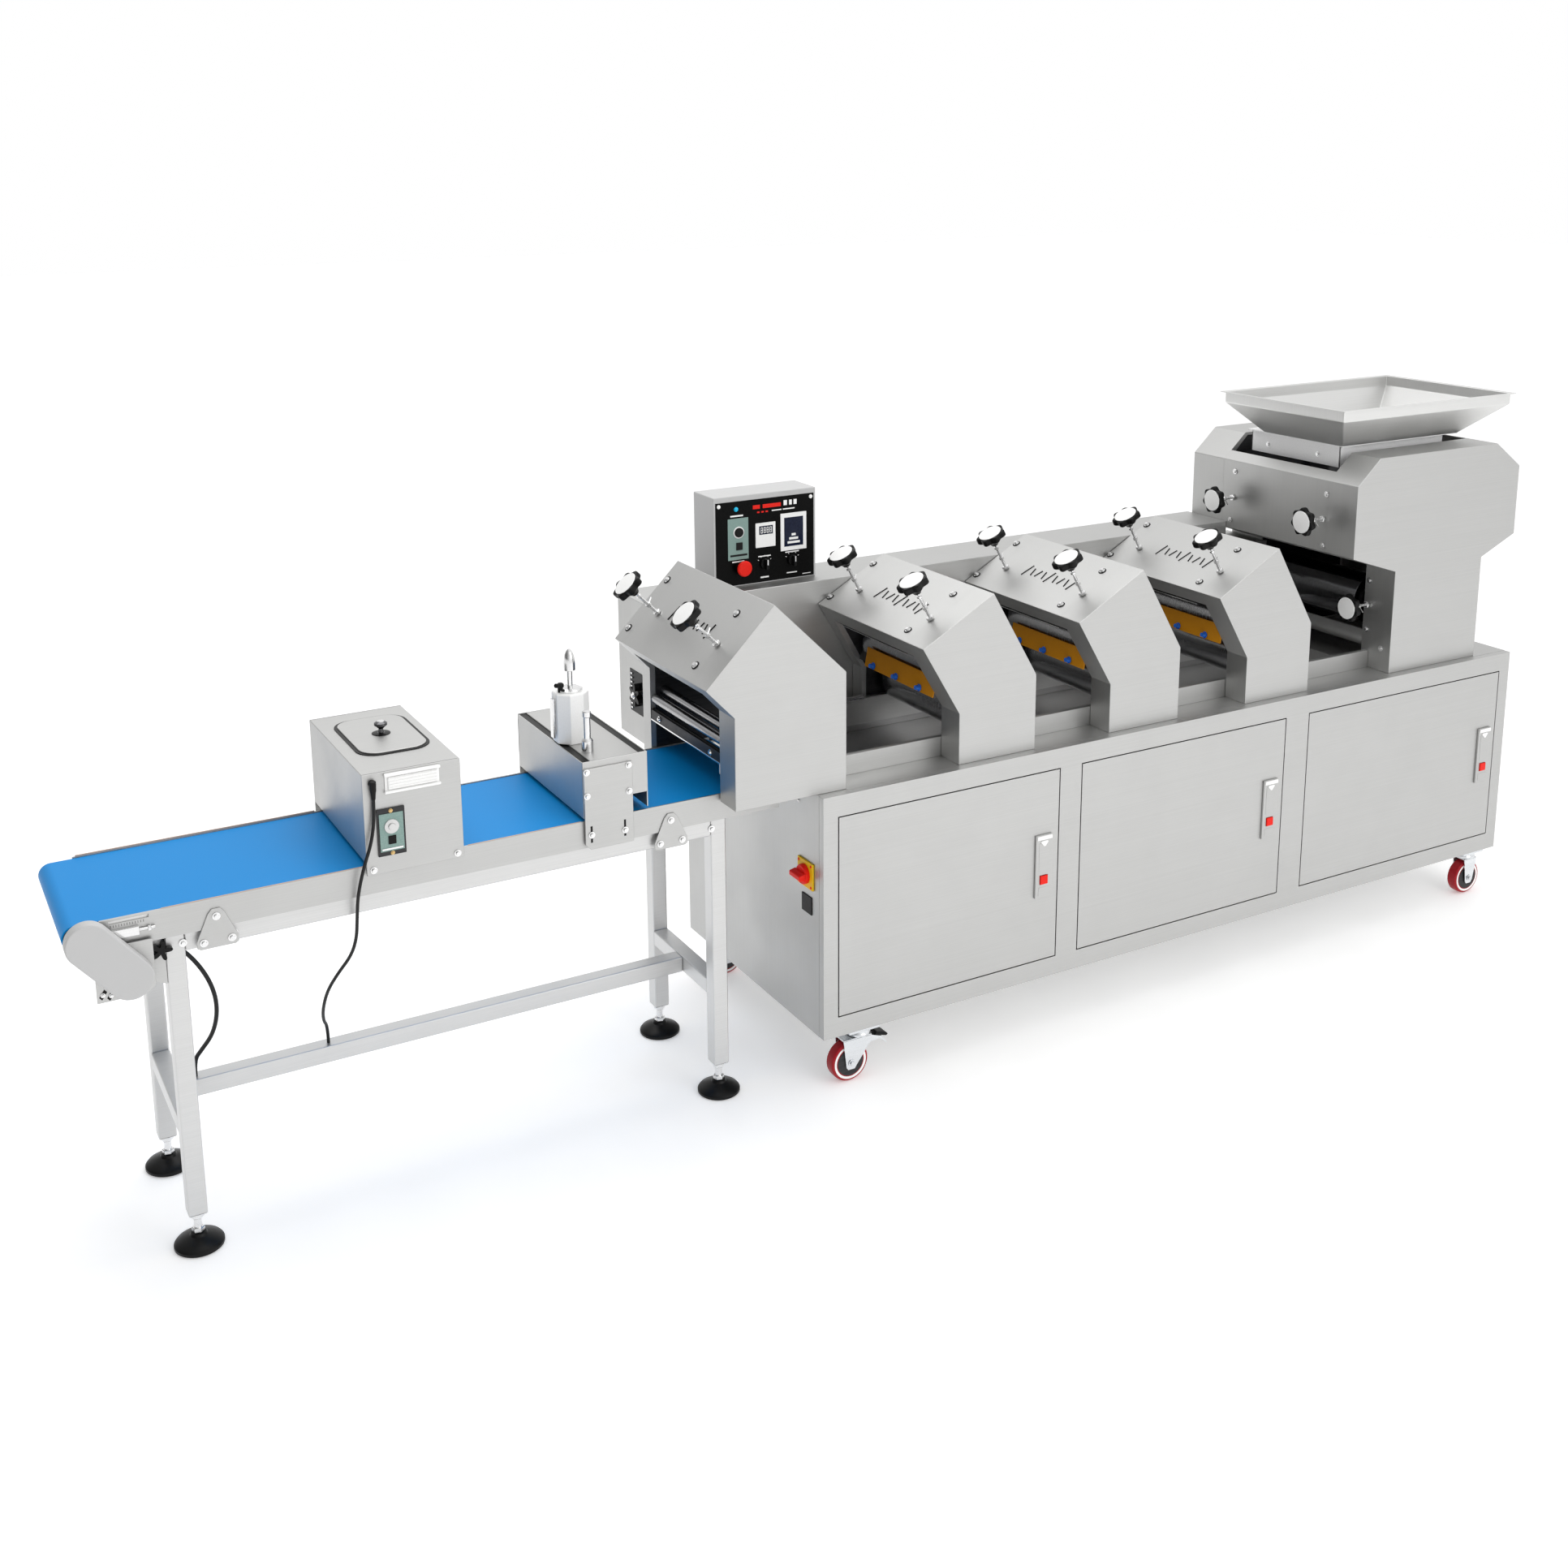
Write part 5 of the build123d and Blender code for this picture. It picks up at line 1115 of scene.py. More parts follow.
panel("keypad_plate", 54, 112, 1167, 1273, 2, PAD_GREEN)
dial = Blank().turned((84, Y_FASCIA - 2, 1237), (0, -1, 0), [(15, 0), (15, 1.2), (12, 1.6), (11, 1.6)], 40)
make("keypad_ring", dial, WHITE, slot="black_plastic")
dial = Blank().turned((84, Y_FASCIA - 3.2, 1237), (0, -1, 0), [(12, 0), (12, 3), (9, 5), (2, 5)], 40)
make("keypad_dial", dial, BLACK, slot="black_plastic")
panel("keypad_key", 77, 94, 1192, 1211, 5, BLACK)
panel("keypad_bar", 60, 108, 1176, 1181, 2.6, BLACK, radius=0.3)
panel("counter_frame", 132, 189, 1191, 1254, 3, WHITE)
panel("counter_window", 142, 181, 1224, 1246, 3.4, NAVY, radius=0.3)
digits = Blank()
for k in range(4):
    left = 146 + k * 8.6
    digits.sheet_xz([left, left + 1.3, left + 4.5, left + 5.8], [1227.5, 1229, 1234.4, 1235.8, 1241.2, 1242.7],
                    [(1, 1), (1, 3)], Y_FASCIA - 3.8, Y_FASCIA - 3.35, 0)
make("counter_digits", digits, WHITE, slot="black_plastic")
panel("display_frame", 204, 279, 1174, 1271, 3, WHITE)
panel("display_glass", 214, 269, 1185, 1260, 3.5, NAVY, radius=0.3)
glyph = Blank()
for k, (dx, width) in enumerate(((0, 36), (5, 26), (12, 12))):
    glyph.block(223 + dx, 223 + dx + width, Y_FASCIA - 3.9, Y_FASCIA - 3.4, 1192 + 10 * k, 1198 + 10 * k, 0.3)
make("display_bars", glyph, WHITE, slot="black_plastic")
lamp = Blank().turned((78, Y_FASCIA, 1296), (0, -1, 0), [(6, 0), (6, 2), (4, 4), (1, 4.6)], 24)
make("cyan_lamp", lamp, CYAN, slot="black_plastic")
readout = Blank()
for k, width in enumerate((20, 52)):
    readout.block((126, 154)[k], (126, 154)[k] + width, Y_FASCIA - 0.6, Y_FASCIA - 0.05, 1291, 1301, 0.2)
for k in range(3):
    readout.block(138 + 12 * k, 145 + 12 * k, Y_FASCIA - 0.6, Y_FASCIA - 0.05, 1280, 1284, 0.2)
make("red_bars", readout, RED, slot="red_plastic")
legend = Blank()
for x0, x1, z0, z1 in ((214, 224, 1292, 1305), (230, 238, 1292, 1305), (243, 252, 1292, 1305),
                       (180, 208, 1281, 1284), (212, 246, 1281, 1284), (62, 98, 1277, 1281),
                       (66, 100, 1160, 1163.5), (140, 176, 1166, 1169), (146, 170, 1111, 1115),
                       (218, 258, 1168, 1171), (222, 252, 1114, 1117), (268, 292, 1107, 1109)):
    legend.block(x0, x1, Y_FASCIA - 0.5, Y_FASCIA - 0.05, z0, z1, 0.2)
make("legend_bars", legend, WHITE, slot="black_plastic")
bolts("fascia_screws", [(30, Y_FASCIA, 1307), (293, Y_FASCIA, 1307), (30, Y_FASCIA, 1110)], (0, -1, 0),
      WHITE, 4, 1.6, 5, slot="black_plastic")
collar = Blank().turned((92, Y_FASCIA - 0.1, 1146), (0, -1, 0), [(15.5, 0), (15.5, 0.3), (15.1, 0.5)], 40)
make("stop_collar", collar, BLACK, slot="black_plastic")
stop = Blank().turned((92, BOX_Y - 4.5, 1146), (0, -1, 0), [(11, 3.8), (11, 9), (19, 10), (20, 12), (20, 16),
                                                            (17, 19), (8, 19.5)], 40)
make("stop_mushroom", stop, RED, body="stop_button", slot="red_plastic", stands_for=("stop_button",))
DIAL_Z = 1148
for name, x in (("speed_knob", 158), ("mode_knob", 238)):
    dial = Blank().turned((x, BOX_Y - 1.2, DIAL_Z), (0, -1, 0), [(14, 0), (14, 4), (12.5, 7), (12, 7.2)], 32)
    dial.block(x - 4, x + 4, BOX_Y - 20, BOX_Y - 7, DIAL_Z - 13.5, DIAL_Z + 13.5, 2)
    make(f"{name}_dial", dial, BLACK, body=name, slot="black_plastic", stands_for=(name,))
    halo = Blank()
    for k in range(5):
        a = radians(30 + 30 * k)
        inner, outer = [(x + r * cos(a), Y_FASCIA - 0.3, DIAL_Z + r * sin(a)) for r in (19, 22)]
        halo.rod(inner, outer, 0.9, 8, 0.2)
    make(f"{name}_scale_marks", halo, WHITE, slot="black_plastic")
    tick = Blank().block(x - 1.3, x + 1.3, BOX_Y - 20.4, BOX_Y - 19.6, DIAL_Z - 1, DIAL_Z + 13, 0.2)
    make(f"{name}_pointer", tick, WHITE, body=name, slot="black_plastic")
print("control box done")

# %% [markdown]
# Casters: a red polyurethane tread on a white hub with a dark bearing ring, in a bright pressed
# fork. The left pair swivels and carries a brake pedal.

# %% Casters
WHEEL_X, AXLE_Z, SWIVEL = (84, 2221), 50, 30
MOUNT_TOP = 134.5
for side, y in (("front", 34), ("rear", 669)):
    for end, x in (("left", WHEEL_X[0]), ("right", WHEEL_X[1])):
        body = f"{side}_{end}_wheel"
        tread = Blank().turned((x, y - 16, AXLE_Z), (0, 1, 0), [(43, 0.5), (47, 1), (49.4, 4), (50, 10),
                                                                (50, 22), (49.4, 28),
                                                               (47, 31), (43, 31.5)], 64)
        make(f"{body}_tread", tread, TYRE, body=body, slot="red_tyre", stands_for=(body,))
        hub = Blank().turned((x, y - 16, AXLE_Z), (0, 1, 0), [(20, 2), (43.2, 0), (43.2, 32), (20, 30)], 56)
        make(f"{body}_rim", hub, WHITE, body=body, slot="red_tyre")
        core = Blank().turned((x, y - 16, AXLE_Z), (0, 1, 0), [(12, -0.4), (35, -0.2), (35, 0.6),
                                                               (35, 31.4), (35, 32.2),
                                                              (12, 32.4)], 48)
        make(f"{body}_bearing_cover", core, DARK_STEEL_AND_SHADE, body=body, slot="zinc")
        carrier = f"{side}_swivel_fork" if end == "left" else "machine"
        fork = Blank()
        pivot = x + SWIVEL if end == "left" else x
        for y0, y1 in ((y - 22, y - 18.5), (y + 18.5, y + 22)):
            fork.prism([(x - 14, 40), (x - 9, 33), (x + 9, 33), (x + 15, 42), (pivot + 26, 96), (pivot + 26, 110),
                        (min(x, pivot) - 22, 110), (min(x, pivot) - 20, 92)], y0, y1, 0.8)
        fork.block(min(x, pivot) - 22, pivot + 26, y - 22, y + 22, 107, 111.5, 1.5)
        fork.turned((pivot, y, 111), (0, 0, 1), [(24, 0), (29, 2), (30, 7), (27, 12), (27, 16.5)], 40)
        pedal_side = end == "left"
        if pedal_side:
            fork.prism([(pivot + 24, 84), (pivot + 26, 104), (pivot + 60, 92), (pivot + 76, 72), (pivot + 72, 70),
                        (pivot + 55, 86)], y - 13, y + 13, 1.2)
        stands = (f"{side}_swivel_fork",) if pedal_side else (("caster_mounts",) if side == "front" else ())
        make(f"{side}_{end}_fork", fork, ZINC, body=carrier, slot="zinc", stands_for=stands)
        plate = Blank().block(pivot - 42, pivot + 42, y - 32, y + 32, MOUNT_TOP - 6, MOUNT_TOP, 1)
        make(f"{side}_{end}_top_plate", plate, ZINC, slot="zinc")
        bolts(f"{side}_{end}_axle", [(x, y - 22, AXLE_Z)], (0, -1, 0), ZINC, 7, 5, 9, 6, body=carrier,
              slot="zinc")
        bolts(f"{side}_{end}_axle_nut", [(x, y + 22, AXLE_Z)], (0, 1, 0), ZINC, 7, 5, 9, 6, body=carrier,
              slot="zinc")
        if pedal_side:
            pad = Blank().prism([(pivot + 40, 100), (pivot + 44, 108), (pivot + 70, 100), (pivot + 77, 94),
                                 (pivot + 72, 90)],
                                y - 15, y + 15, 2)
            make(f"{side}_brake_pad", pad, BLACK, body=carrier, slot="black_plastic")
print("four casters")

# %% [markdown]
# The conveyor stands on a frame of square tube with rounded corners. Its legs end in levelling
# feet: a black domed pad, a bright stud and lock nuts.

# %% Conveyor frame and feet
LEGS_X, LEGS_Y, TUBE = (-1397, -207), (138, 463), 19
tubes = Blank()
for x in LEGS_X:
    for y in LEGS_Y:
        tubes.block(x - TUBE, x + TUBE, y - TUBE, y + TUBE, 75, 689.5, 3.5, 3)
    for z0, z1 in ((246, 284), (650, 689.5)):
        tubes.block(x - TUBE, x + TUBE, LEGS_Y[0] + TUBE, LEGS_Y[1] - TUBE, z0, z1, 3, 3)
for y in LEGS_Y:
    tubes.block(LEGS_X[0] + TUBE, LEGS_X[1] - TUBE, y - TUBE, y + TUBE, 650, 689.5, 3, 3)
tubes.block(LEGS_X[0] + TUBE, LEGS_X[1] - TUBE, 300.5 - TUBE, 300.5 + TUBE, 246, 284, 3, 3)
gusset = [(-1378, 650), (-1378, 590), (-1318, 650)]
tubes.prism(gusset, 461, 465, 0.6)
tubes.prism([(-226, 650), (-286, 650), (-226, 590)], 461, 465, 0.6)
make("tube_frame", tubes, TUBE_STEEL, slot="stainless_tube", stands_for=("conveyor_frame",))
pads, studs = Blank(), Blank()
for x in LEGS_X:
    for y in LEGS_Y:
        pads.turned((x, y, 0), (0, 0, 1), [(47, 0), (50, 2.5), (50, 8), (46, 13), (32, 20), (18, 25),
                                           (15, 30), (11, 31)], 56)
        studs.rod((x, y, 26), (x, y, 75), 8, 24)
        studs.hex_nut((x, y, 32), (0, 0, 1), 26, 9)
        studs.hex_nut((x, y, 63), (0, 0, 1), 28, 11)
make("foot_pads", pads, BLACK, slot="black_plastic", stands_for=("levelling_feet",))
make("foot_studs", studs, BRIGHT, slot="stainless_bright")
print("conveyor frame on", len(LEGS_X) * len(LEGS_Y), "feet")

# %% [markdown]
# The bed: two side plates that carry the belt, with a slot and a tension block near the nose,
# and three-hole brackets that bolt it to the frame. The belt is a blue loop with a pale brown
# cut edge on each side.

# %% Conveyor bed and belt
SIDE_LEFT, SIDE_RIGHT = -1532, -55
bed = Blank()
for y0, y1 in ((108, 112), (462, 466)):
    bed.sheet_xz([SIDE_LEFT, -1515, -1442, SIDE_RIGHT], [690, 741, 747, 752], [(1, 1)], y0, y1, 0.7)
bed.block(-1547, -98, 117, 458, 741, 746, 0.5)
for x in (-1575, -70):
    bed.rod((x, 112, 725), (x, 462, 725), 21, 40, 1)
for x in (-1300, -700, -250):
    bed.block(x - 15, x + 15, 112, 462, 720, 730, 0.6)
make("bed_sides", bed, STAINLESS, stands_for=("conveyor_bed",))
edging = Blank()
for y0, y1 in ((112.2, 115.2), (459.8, 461.8)):
    edging.block(-1430, -60, y0, y1, 738, 748.6, 0.3)
edging.block(-1526, -1030, 462.4, 465.6, 752, 754.5, 0.3)
edging.block(-1418, -1022, 108.4, 111.6, 752, 752.8, 0.2)
edging.block(-800, -545, 108.4, 111.6, 752, 752.8, 0.2)
make("belt_guides", edging, BELT_EDGE, slot="stainless")
make("slot_strip", Blank().block(-1522, -1436, 112.2, 113.2, 736, 749, 0.2), WHITE, slot="stainless")


def obround(x0, x1, z, radius, steps=14):
    """The outline of a stadium shape, clockwise."""
    left = [(x0 + radius * cos(radians(270 - 180 * k / steps)), z + radius * sin(radians(270 - 180 * k / steps)))
            for k in range(steps + 1)]
    right = [(x1 + radius * cos(radians(90 - 180 * k / steps)), z + radius * sin(radians(90 - 180 * k / steps)))
             for k in range(steps + 1)]
    return left + right


loop = bmesh.new()
for radius, flip in ((25, False), (22, True)):
    path = obround(-1575, -70, 725, radius)
    near = [loop.verts.new(at(x, 116, z)) for x, z in path]
    far = [loop.verts.new(at(x, 459, z)) for x, z in path]
    for i in range(len(path)):
        j = (i + 1) % len(path)
        loop.faces.new((near[i], near[j], far[j], far[i]))
    if flip:
        inner_near, inner_far = near, far
    else:
        outer_near, outer_far = near, far
for a, b in ((outer_near, inner_near), (outer_far, inner_far)):
    for i in range(len(a)):
        j = (i + 1) % len(a)
        loop.faces.new((a[i], a[j], b[j], b[i]))
bmesh.ops.recalc_face_normals(loop, faces=loop.faces)
belt = Blank()
belt.mesh = loop
make("belt_loop", belt, BELT, slot="belt_blue", stands_for=("conveyor_belt",))
brackets = Blank()
for x in (-1318, -332):
    for y0, y1 in ((105, 107.8), (466.2, 469)):
        brackets.prism([(x - 40, 654), (x - 40, 668), (x - 16, 722), (x - 8, 731), (x + 8, 731), (x + 16, 722),
                        (x + 40, 668), (x + 40, 654), (x + 34, 650), (x - 34, 650)], y0, y1, 0.8)
make("bed_brackets", brackets, STAINLESS)
for number, (y, way_out) in enumerate(((105, -1), (469, 1))):
    spots = [(x + dx, y, z) for x in (-1318, -332) for dx, z in ((0, 715), (-27, 664), (27, 664))]
    bolts(f"bracket_bolts_{number}", spots, (0, way_out, 0), BRIGHT, 5.5, 4.5, 8, 24)
    bolts(f"frame_bolts_{number}",
          [(x, y + way_out * -3 if number else 118.5, 668) for x in (-1382, -1285, -225, -300)],
          (0, way_out, 0), BRIGHT, 5, 4, 8, 6)
tension = Blank()
for y0, y1 in ((99, 107.5), (466.5, 475)):
    tension.block(-1512, -1462, y0, y1, 712, 730, 1.5)
    tension.rod((-1462, (y0 + y1) / 2, 721), (-1432, (y0 + y1) / 2, 721), 3, 16)
    tension.hex_nut((-1446, (y0 + y1) / 2, 721), (1, 0, 0), 11, 6)
make("belt_tensioners", tension, BRIGHT)
scale = grow(BARS, None, BLACK, Count=13, Step=(5 * MM, 0, 0), Size=(0.8 * MM, 0.3 * MM, 5 * MM))
scale.transform(Matrix.Translation(at(-1512, 107.9, 736)))
set_piece("tension_scale", scale, BLACK, slot="black_plastic", weighted=False)
print("belt from", -1600, "to", -45)

# %% [markdown]
# The belt drive hangs below the nose: a rounded belt cover, a motor plate with slots, a gearbox
# and a ribbed motor, and a black star knob that locks the plate.

# %% Belt drive
(ax, az), (bx, bz), cover_r = (-1558, 722), (-1487, 636), 42
tilt = atan2(bz - az, bx - ax)
cover_line = []
for k in range(17):
    angle_a = tilt - pi / 2 - pi * k / 16
    cover_line.append((ax + cover_r * cos(angle_a), az + cover_r * sin(angle_a)))
for k in range(17):
    angle_b = tilt + pi / 2 - pi * k / 16
    cover_line.append((bx + cover_r * cos(angle_b), bz + cover_r * sin(angle_b)))
make("belt_cover", Blank().prism(cover_line, 72, 97, 3.5, (True, False)), BOX_PAINT, slot="motor_grey",
     stands_for=("belt_drive",))
plate = Blank()
plate.prism([(-1549, 590), (-1549, 676), (-1520, 700), (-1440, 700), (-1440, 604), (-1455, 590)], 98, 101.5, 0.8)
make("motor_plate", plate, STAINLESS, slot="motor_grey")
# black patches on the plate for its slots: painted shade
slots = Blank()
for x, z in ((-1545, 596), (-1531, 592)):
    slots.prism([(x, z + 6), (x + 5, z), (x + 15, z + 15), (x + 10, z + 21)], 97.2, 98.2, 0)
make("motor_plate_slots", slots, BLACK, slot="black_plastic")
bolts("motor_plate_bolts", [(-1538, 97.4, 606), (-1523, 97.4, 602)], (0, -1, 0), BRIGHT, 3.5, 3, 4.5, 6)
gearbox = Blank().block(-1530, -1442, 112, 196, 596, 676, 6, 3)
gearbox.turned((-1487, 196, 636), (0, 1, 0), [(34, 0), (34, 6), (31, 8), (31, 122), (33, 126), (33, 132),
                                              (28, 134)], 40)
gearbox.block(-1452, -1440, 202, 230, 622, 650, 2)
make("gearmotor", gearbox, ENAMEL, slot="motor_grey")
ribs = placed(grow(RINGS, None, ENAMEL, Count=17, Pitch=6 * MM, Radius=35 * MM, Thickness=1.8 * MM),
              (-1487, 210, 636),
              (0, 1, 0))
set_piece("motor_ribs", ribs, ENAMEL, slot="motor_grey", weighted=False)
star = placed(grow(GRIP, None, BLACK, Radius=0.014, Lobe_depth=0.007, Lobes=5, Height=0.012),
              (-1424, 117, 666), (0, -1, 0))
set_piece("plate_star_knob", star, BLACK, slot="black_plastic")
gland = Blank().turned((-1441, 216, 636), (1, 0, 0), [(8, 0), (8, 6), (6.5, 12), (5, 20)], 20)
make("motor_gland", gland, BLACK, slot="black_plastic")
hanger = Blank().prism([(-1416, 590), (-1450, 604), (-1450, 690), (-1416, 690)], 119, 122, 0.8)
make("drive_hanger", hanger, STAINLESS, slot="motor_grey")
print("belt drive done")

# %% [markdown]
# The flour duster is a folded box that straddles the belt on two skirts, with a rounded lid in
# its top. On its front are a small controller, a white louvred vent and the cable's gland.

# %% Flour duster
D_X0, D_X1, D_Y0, D_Y1, D_TOP, PASS, SKIRT = -1018, -812, 100, 505, 950, 760, 733
duster = Blank()
duster.prism([(D_X0, SKIRT), (D_X0, D_TOP), (D_X1, D_TOP), (D_X1, SKIRT)], D_Y0, D_Y0 + 3, 1.2, (True, False))
duster.prism([(D_X0, SKIRT), (D_X0, D_TOP), (D_X1, D_TOP), (D_X1, SKIRT)], D_Y1 - 3, D_Y1, 1.2, (False, True))
for x0, x1 in ((D_X0, D_X0 + 3), (D_X1 - 3, D_X1)):
    duster.block(x0, x1, D_Y0 + 2.5, D_Y1 - 2.5, PASS, D_TOP - 1, 0)
duster.sheet_xy([D_X0 + 1, -973, -847, D_X1 - 1], [D_Y0 + 1, 215, 435, D_Y1 - 1], [(1, 1)], D_TOP - 3, D_TOP, 0)
duster.block(D_X0 + 3, D_X1 - 3, D_Y0 + 3, D_Y1 - 3, 776, 779, 0)
make("duster_box", duster, STAINLESS, stands_for=("duster_body",))


def rounded_rect(cx, cy, length, width, radius, steps=8):
    """Corner points of a rounded rectangle, anticlockwise."""
    points = []
    for sx, sy, start in ((1, 1, 0), (-1, 1, 90), (-1, -1, 180), (1, -1, 270)):
        for k in range(steps + 1):
            a = radians(start + 90 * k / steps)
            points.append((cx + sx * (length / 2 - radius) + radius * cos(a),
                           cy + sy * (width / 2 - radius) + radius * sin(a)))
    return points


def lid_disc(length, width, radius, z0, z1, ease):
    """A level plate with rounded corners."""
    disc = Blank()
    disc.part = bmesh.new()
    layers = [[disc.part.verts.new(at(x, y, z)) for x, y in rounded_rect(-910, 325, length, width, radius)]
              for z in (z0, z1)]
    count = len(layers[0])
    for i in range(count):
        j = (i + 1) % count
        disc.part.faces.new((layers[0][i], layers[0][j], layers[1][j], layers[1][i]))
    disc.part.faces.new(layers[0][::-1])
    disc.part.faces.new(layers[1])
    disc._close(lambda e: abs(e.verts[0].co.z - e.verts[1].co.z) < 1e-6, ease)
    return disc


lid = lid_disc(144, 238, 39, D_TOP + 1.2, D_TOP + 4.2, 1.2)
make("duster_lid_plate", lid, STAINLESS, body="duster_lid", stands_for=("duster_lid",))
make("duster_lid_seal", lid_disc(158, 252, 46, D_TOP + 0.4, D_TOP + 1.8, 0.3), BLACK, body="duster_lid",
     slot="black_plastic")
LID_X, LID_Y = -910, 325
knob = Blank().turned((LID_X, LID_Y, D_TOP + 3), (0, 0, 1), [(14, 0), (14, 1.5), (6, 4), (5, 12), (9, 16),
                                                            (14, 20), (14, 25), (9, 28), (2, 28.5)], 32)
make("duster_lid_knob", knob, DARK_POLISH_AND_SHADE, body="duster_lid", slot="stainless_bright")
rose = Blank().turned((LID_X, LID_Y, D_TOP + 4), (0, 0, 1), [(20, 0), (20, 1.2), (17, 2.2), (6, 2.6)], 32)
make("duster_lid_rose", rose, BLACK, body="duster_lid", slot="black_plastic")
button = Blank().turned((LID_X, LID_Y, D_TOP + 31), (0, 0, 1), [(8, 0), (7, 1.2), (2, 1.6)], 24)
make("duster_lid_button", button, BRIGHT, body="duster_lid", slot="stainless_bright")
control = Blank().block(-993, -935, 95.5, 99.8, 771, 872, 0.6)
make("duster_controller", control, DARK_STEEL_AND_SHADE)
make("duster_controller_face", Blank().block(-989, -939, 93.8, 95.6, 781, 862, 0.6), PAD_GREEN,
     slot="black_plastic")
face_dial = Blank().turned((-964, 93.8, 834), (0, -1, 0), [(16, 0), (15, 2.5), (8, 3), (7, 6), (2, 6.4)], 32)
make("duster_dial", face_dial, TUBE_STEEL)
make("duster_rocker", Blank().block(-972, -956, 91.5, 94, 796, 814, 0.8), BLACK, slot="black_plastic")
make("duster_ledge", Blank().block(-986, -942, 92.4, 94, 784, 788, 0.4), BRIGHT)
bolts("duster_controller_screws", [(-964, 95.5, 867), (-964, 95.5, 776)], (0, -1, 0), BRASS, 3.4, 2, 4.4)
vent = Blank().block(-972, -858, 97.5, 99.8, 904, 946, 0.8)
for z in (907, 943):
    vent.block(-974, -856, 91.5, 98, z - 3, z + 3, 2)
vent.prism([(-966, 912), (-966, 938), (-862, 938), (-862, 912)], 93.5, 98, 1.5)
make("duster_vent", vent, WHITE, slot="black_plastic")
louvres = grow(BARS, None, WHITE, Count=4, Step=(0, 0, 6.5 * MM), Size=(100 * MM, 2.2 * MM, 1.6 * MM))
louvres.transform(Matrix.Translation(at(-914, 92.6, 915.5)))
set_piece("duster_louvres", louvres, WHITE, slot="black_plastic", weighted=False)
gland = Blank().turned((-998, 93, 938), (0, 0, -1), [(3, 0), (6.8, 2), (7, 8), (6.5, 22), (5.6, 25),
                                                     (4.2, 40)], 24)
gland.turned((-998, 100, 930), (0, -1, 0), [(8, 0), (8, 3), (7, 8)], 24)
make("duster_gland", gland, BLACK, slot="black_plastic")
bolts("duster_skirt_bolts", [(-826, 100, 744), (-1004, 100, 744)], (0, -1, 0), BRIGHT, 5.5, 4.5, 7.5)
print("duster done")

# %% [markdown]
# The cutter: a folded cover open along both top edges, on clamp plates with slotted bolt holes.
# A white eight-sided air cylinder stands on it, with a bright ram through it.

# %% Cutter
C_X0, C_X1, C_Y0, C_Y1, C_TOP = -540, -387, 103, 490, 888
cutter = Blank()
for y0, y1, ends in ((C_Y0, C_Y0 + 3, (True, False)), (C_Y1 - 3, C_Y1, (False, True))):
    cutter.prism([(C_X0, 795), (C_X0, C_TOP), (C_X1, C_TOP), (C_X1, 795)], y0, y1, 1, ends)
for x0, x1 in ((C_X0, C_X0 + 2.5), (C_X1 - 2.5, C_X1)):
    cutter.block(x0, x1, C_Y0 + 1, C_Y1 - 1, PASS, C_TOP - 1, 0.3)
cutter.sheet_xy([C_X0 + 21, -509, -491, C_X1 - 21], [C_Y0 + 2, 249, 267, C_Y1 - 2], [(1, 1)], C_TOP - 3,
                C_TOP, 0.3)
cutter.block(C_X0 + 20, C_X0 + 22, C_Y0 + 3, C_Y1 - 3, 850, C_TOP - 0.5, 0.3)
cutter.block(C_X1 - 22, C_X1 - 20, C_Y0 + 3, C_Y1 - 3, 850, C_TOP - 0.5, 0.3)
make("cutter_cover", cutter, STAINLESS, stands_for=("cutter_housing",))
make("cutter_slot_shade", Blank().block(C_X0 + 2.6, C_X0 + 19.8, C_Y0 + 3, C_Y1 - 3, 848, C_TOP - 2.5, 0)
     .block(C_X1 - 19.8, C_X1 - 2.6, C_Y0 + 3, C_Y1 - 3, 848, C_TOP - 2.5, 0), BLACK, slot="black_plastic")
clamp = Blank()
clamp.prism([(-539, 700), (-539, 873), (-425, 873), (-425, 688), (-527, 688)], 98.6, 102.8, 1)
clamp.block(-539, -425, 490.2, 494, 733, 873, 0.8)
for x in (-520, -444):
    clamp.block(x - 8, x + 8, 102.8, 107.8, 715, 731, 0.6)
    clamp.block(x - 8, x + 8, 466.2, 490, 736, 748, 0.6)
make("cutter_clamps", clamp, STAINLESS)
bolts("cutter_clamp_screws", [(-533, 98.6, 866), (-533, 98.6, 812), (-434, 98.6, 866), (-434, 98.6, 806),
                              (-525, 98.6, 722), (-446, 98.6, 718)], (0, -1, 0), BRIGHT, 5.5, 4.5, 7.5)
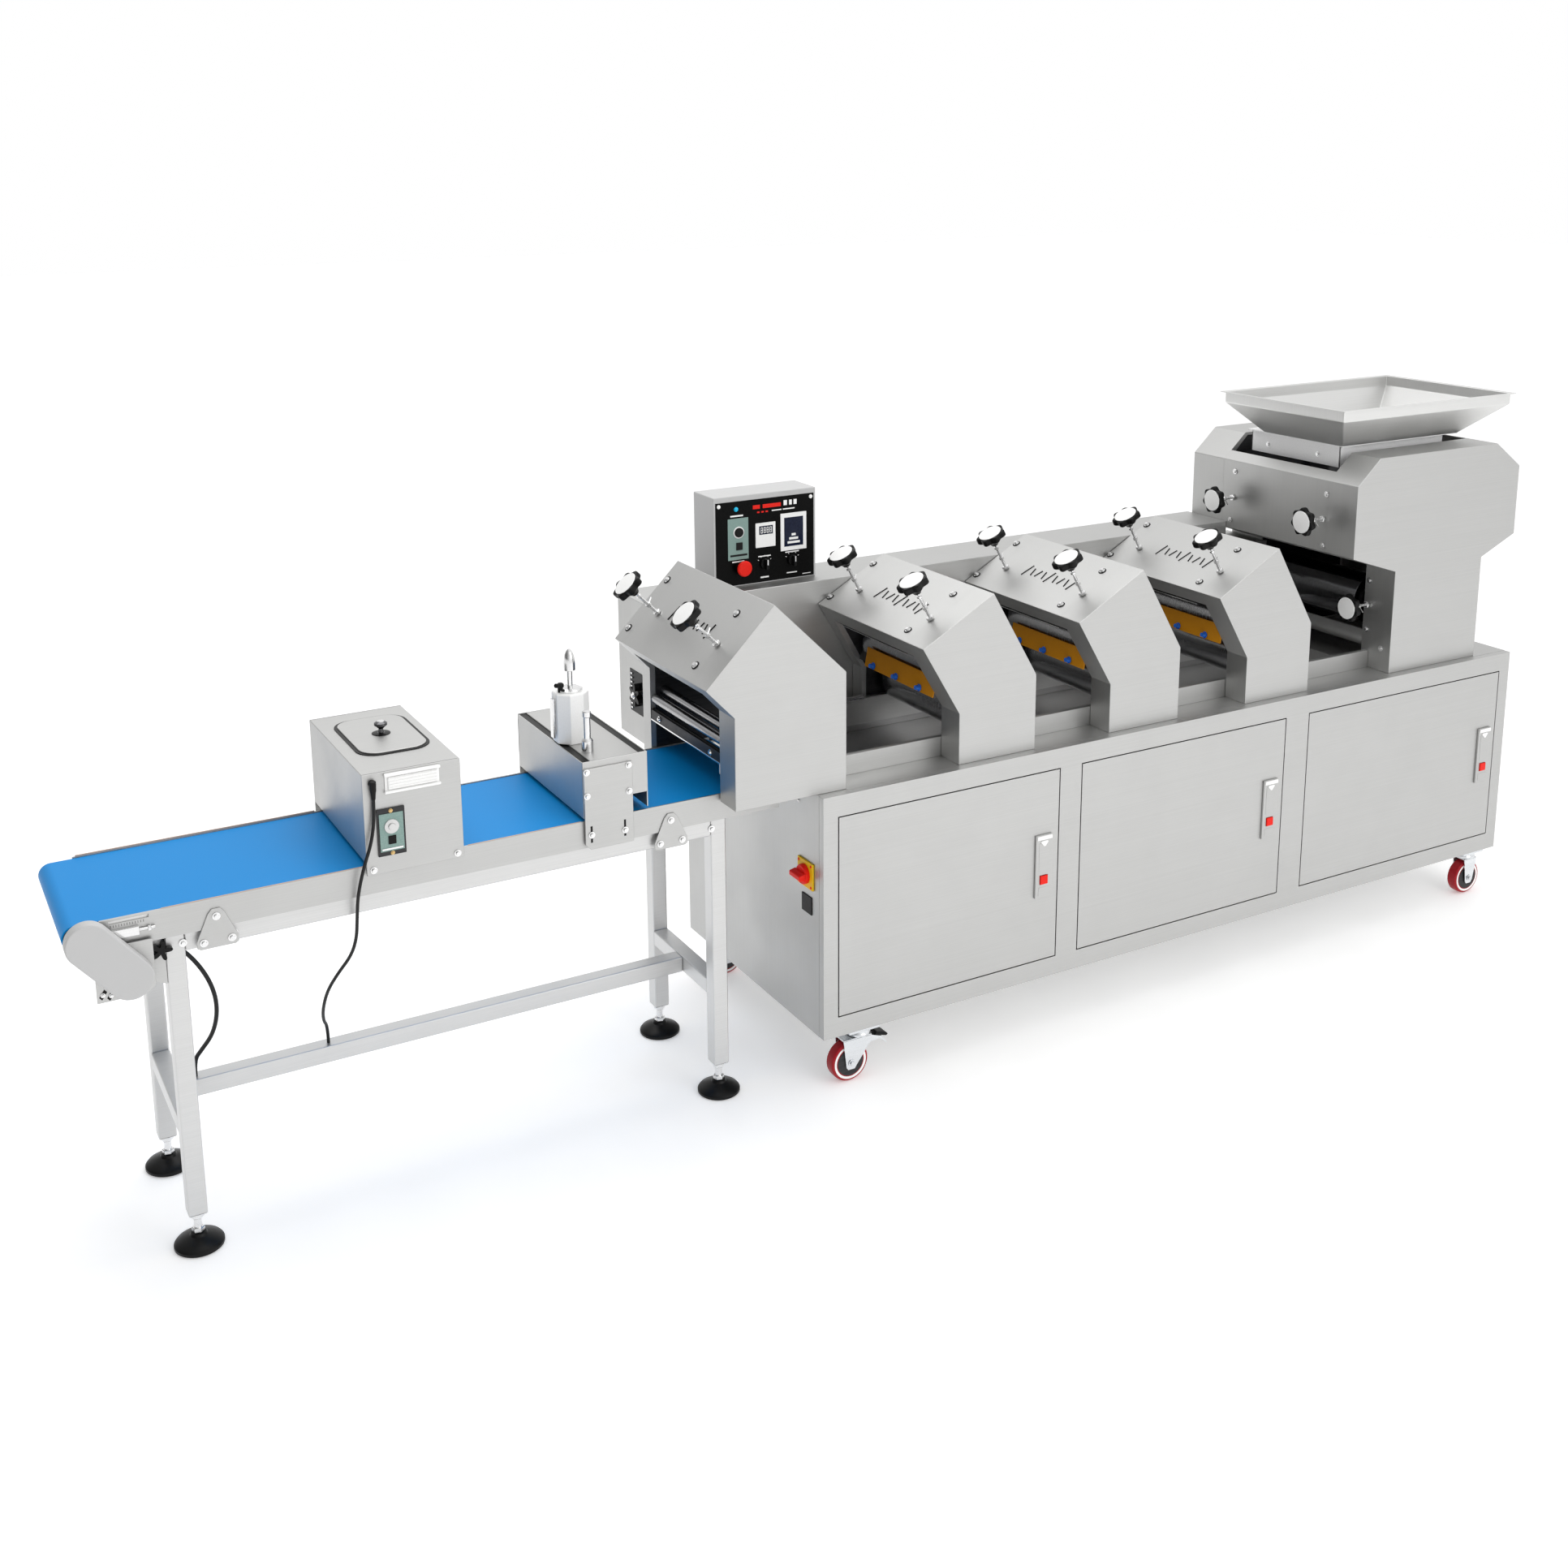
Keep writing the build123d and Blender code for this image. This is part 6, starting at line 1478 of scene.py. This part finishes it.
# black strips for the slotted holes: painted shade
long_slots = Blank()
for x in (-525, -446):
    long_slots.block(x - 2.4, x + 2.4, 98.2, 98.8, 704, 742, 0.2)
make("cutter_clamp_slots", long_slots, BLACK, slot="black_plastic")
OCTAGON = 41.1
tower = Blank().turned((-500, 258, 888.3), (0, 0, 1), [(OCTAGON - 1, 0), (OCTAGON, 1), (OCTAGON, 112),
                                                       (OCTAGON - 2, 114.5)], 8)
tower.mesh.transform(Matrix.Translation(at(-500, 258, 0)) @ Matrix.Rotation(radians(22.5), 4, "Z")
                     @ Matrix.Translation(-at(-500, 258, 0)))
make("air_cylinder", tower, WHITE, slot="stainless")
collar = Blank().turned((-500, 258, 1003), (0, 0, 1), [(28, 0), (28, 4), (22, 7), (9, 7.5)], 40)
collar.turned((-500, 168, 888.2), (0, 0, 1), [(13, 0), (13, 24), (11, 27), (8, 30), (8, 78), (10, 80),
                                              (10, 90), (8.5, 92)], 32)
collar.block(-546, -540.5, 250, 266, 900, 990, 0.8)
make("cylinder_fittings", collar, BRIGHT, slot="stainless_bright")
elbow = Blank().turned((-524, 255, 1003), (0, 0, 1), [(6, 0), (6, 10), (8, 12), (8, 18), (5, 21)], 20)
elbow.rod((-524, 255, 1017), (-538, 250, 1021), 5, 16, 1)
make("air_elbow", elbow, BLACK, slot="black_plastic")
ram = Blank().rod((-500, 258, 869), (-500, 258, 1050), 6, 24)
ram.turned((-500, 258, 1048), (0, 0, 1), [(9, 0), (13, 2), (13, 18), (12, 28), (10, 38), (6, 46), (2, 50)], 32)
ram.block(-504, -496, 124, 451, 789, 869, 0.5)
make("cutter_blade_ram", ram, BRIGHT, body="cutter_ram", slot="stainless_bright", stands_for=("cutter_ram",))
print("cutter done")

# %% [markdown]
# The floor is part of the stage, not of the machine.

# %% Floor and its finish
floor_mesh = bpy.data.meshes.new("studio_floor")
FLOOR_REACH, FLOOR_SINK = 30, 0.0005
corners = [(x * FLOOR_REACH, y * FLOOR_REACH, -FLOOR_SINK) for x, y in ((-1, -1), (1, -1), (1, 1), (-1, 1))]
floor_mesh.from_pydata(corners, [], [(0, 1, 2, 3)])
floor = bpy.data.objects.new("studio_floor", floor_mesh)
bpy.context.collection.objects.link(floor)
floor_paint = moulded("pale floor", (0.86, 0.86, 0.86), (0.90, 0.90, 0.90), 4, (0.6, 0.8), 0.0)
floor_shine = floor_paint.node_tree.nodes["Principled BSDF"]
floor_shine.inputs["Emission Color"].default_value = (1, 1, 1, 1)
floor_shine.inputs["Emission Strength"].default_value = 0.30
floor_mesh.materials.append(floor_paint)
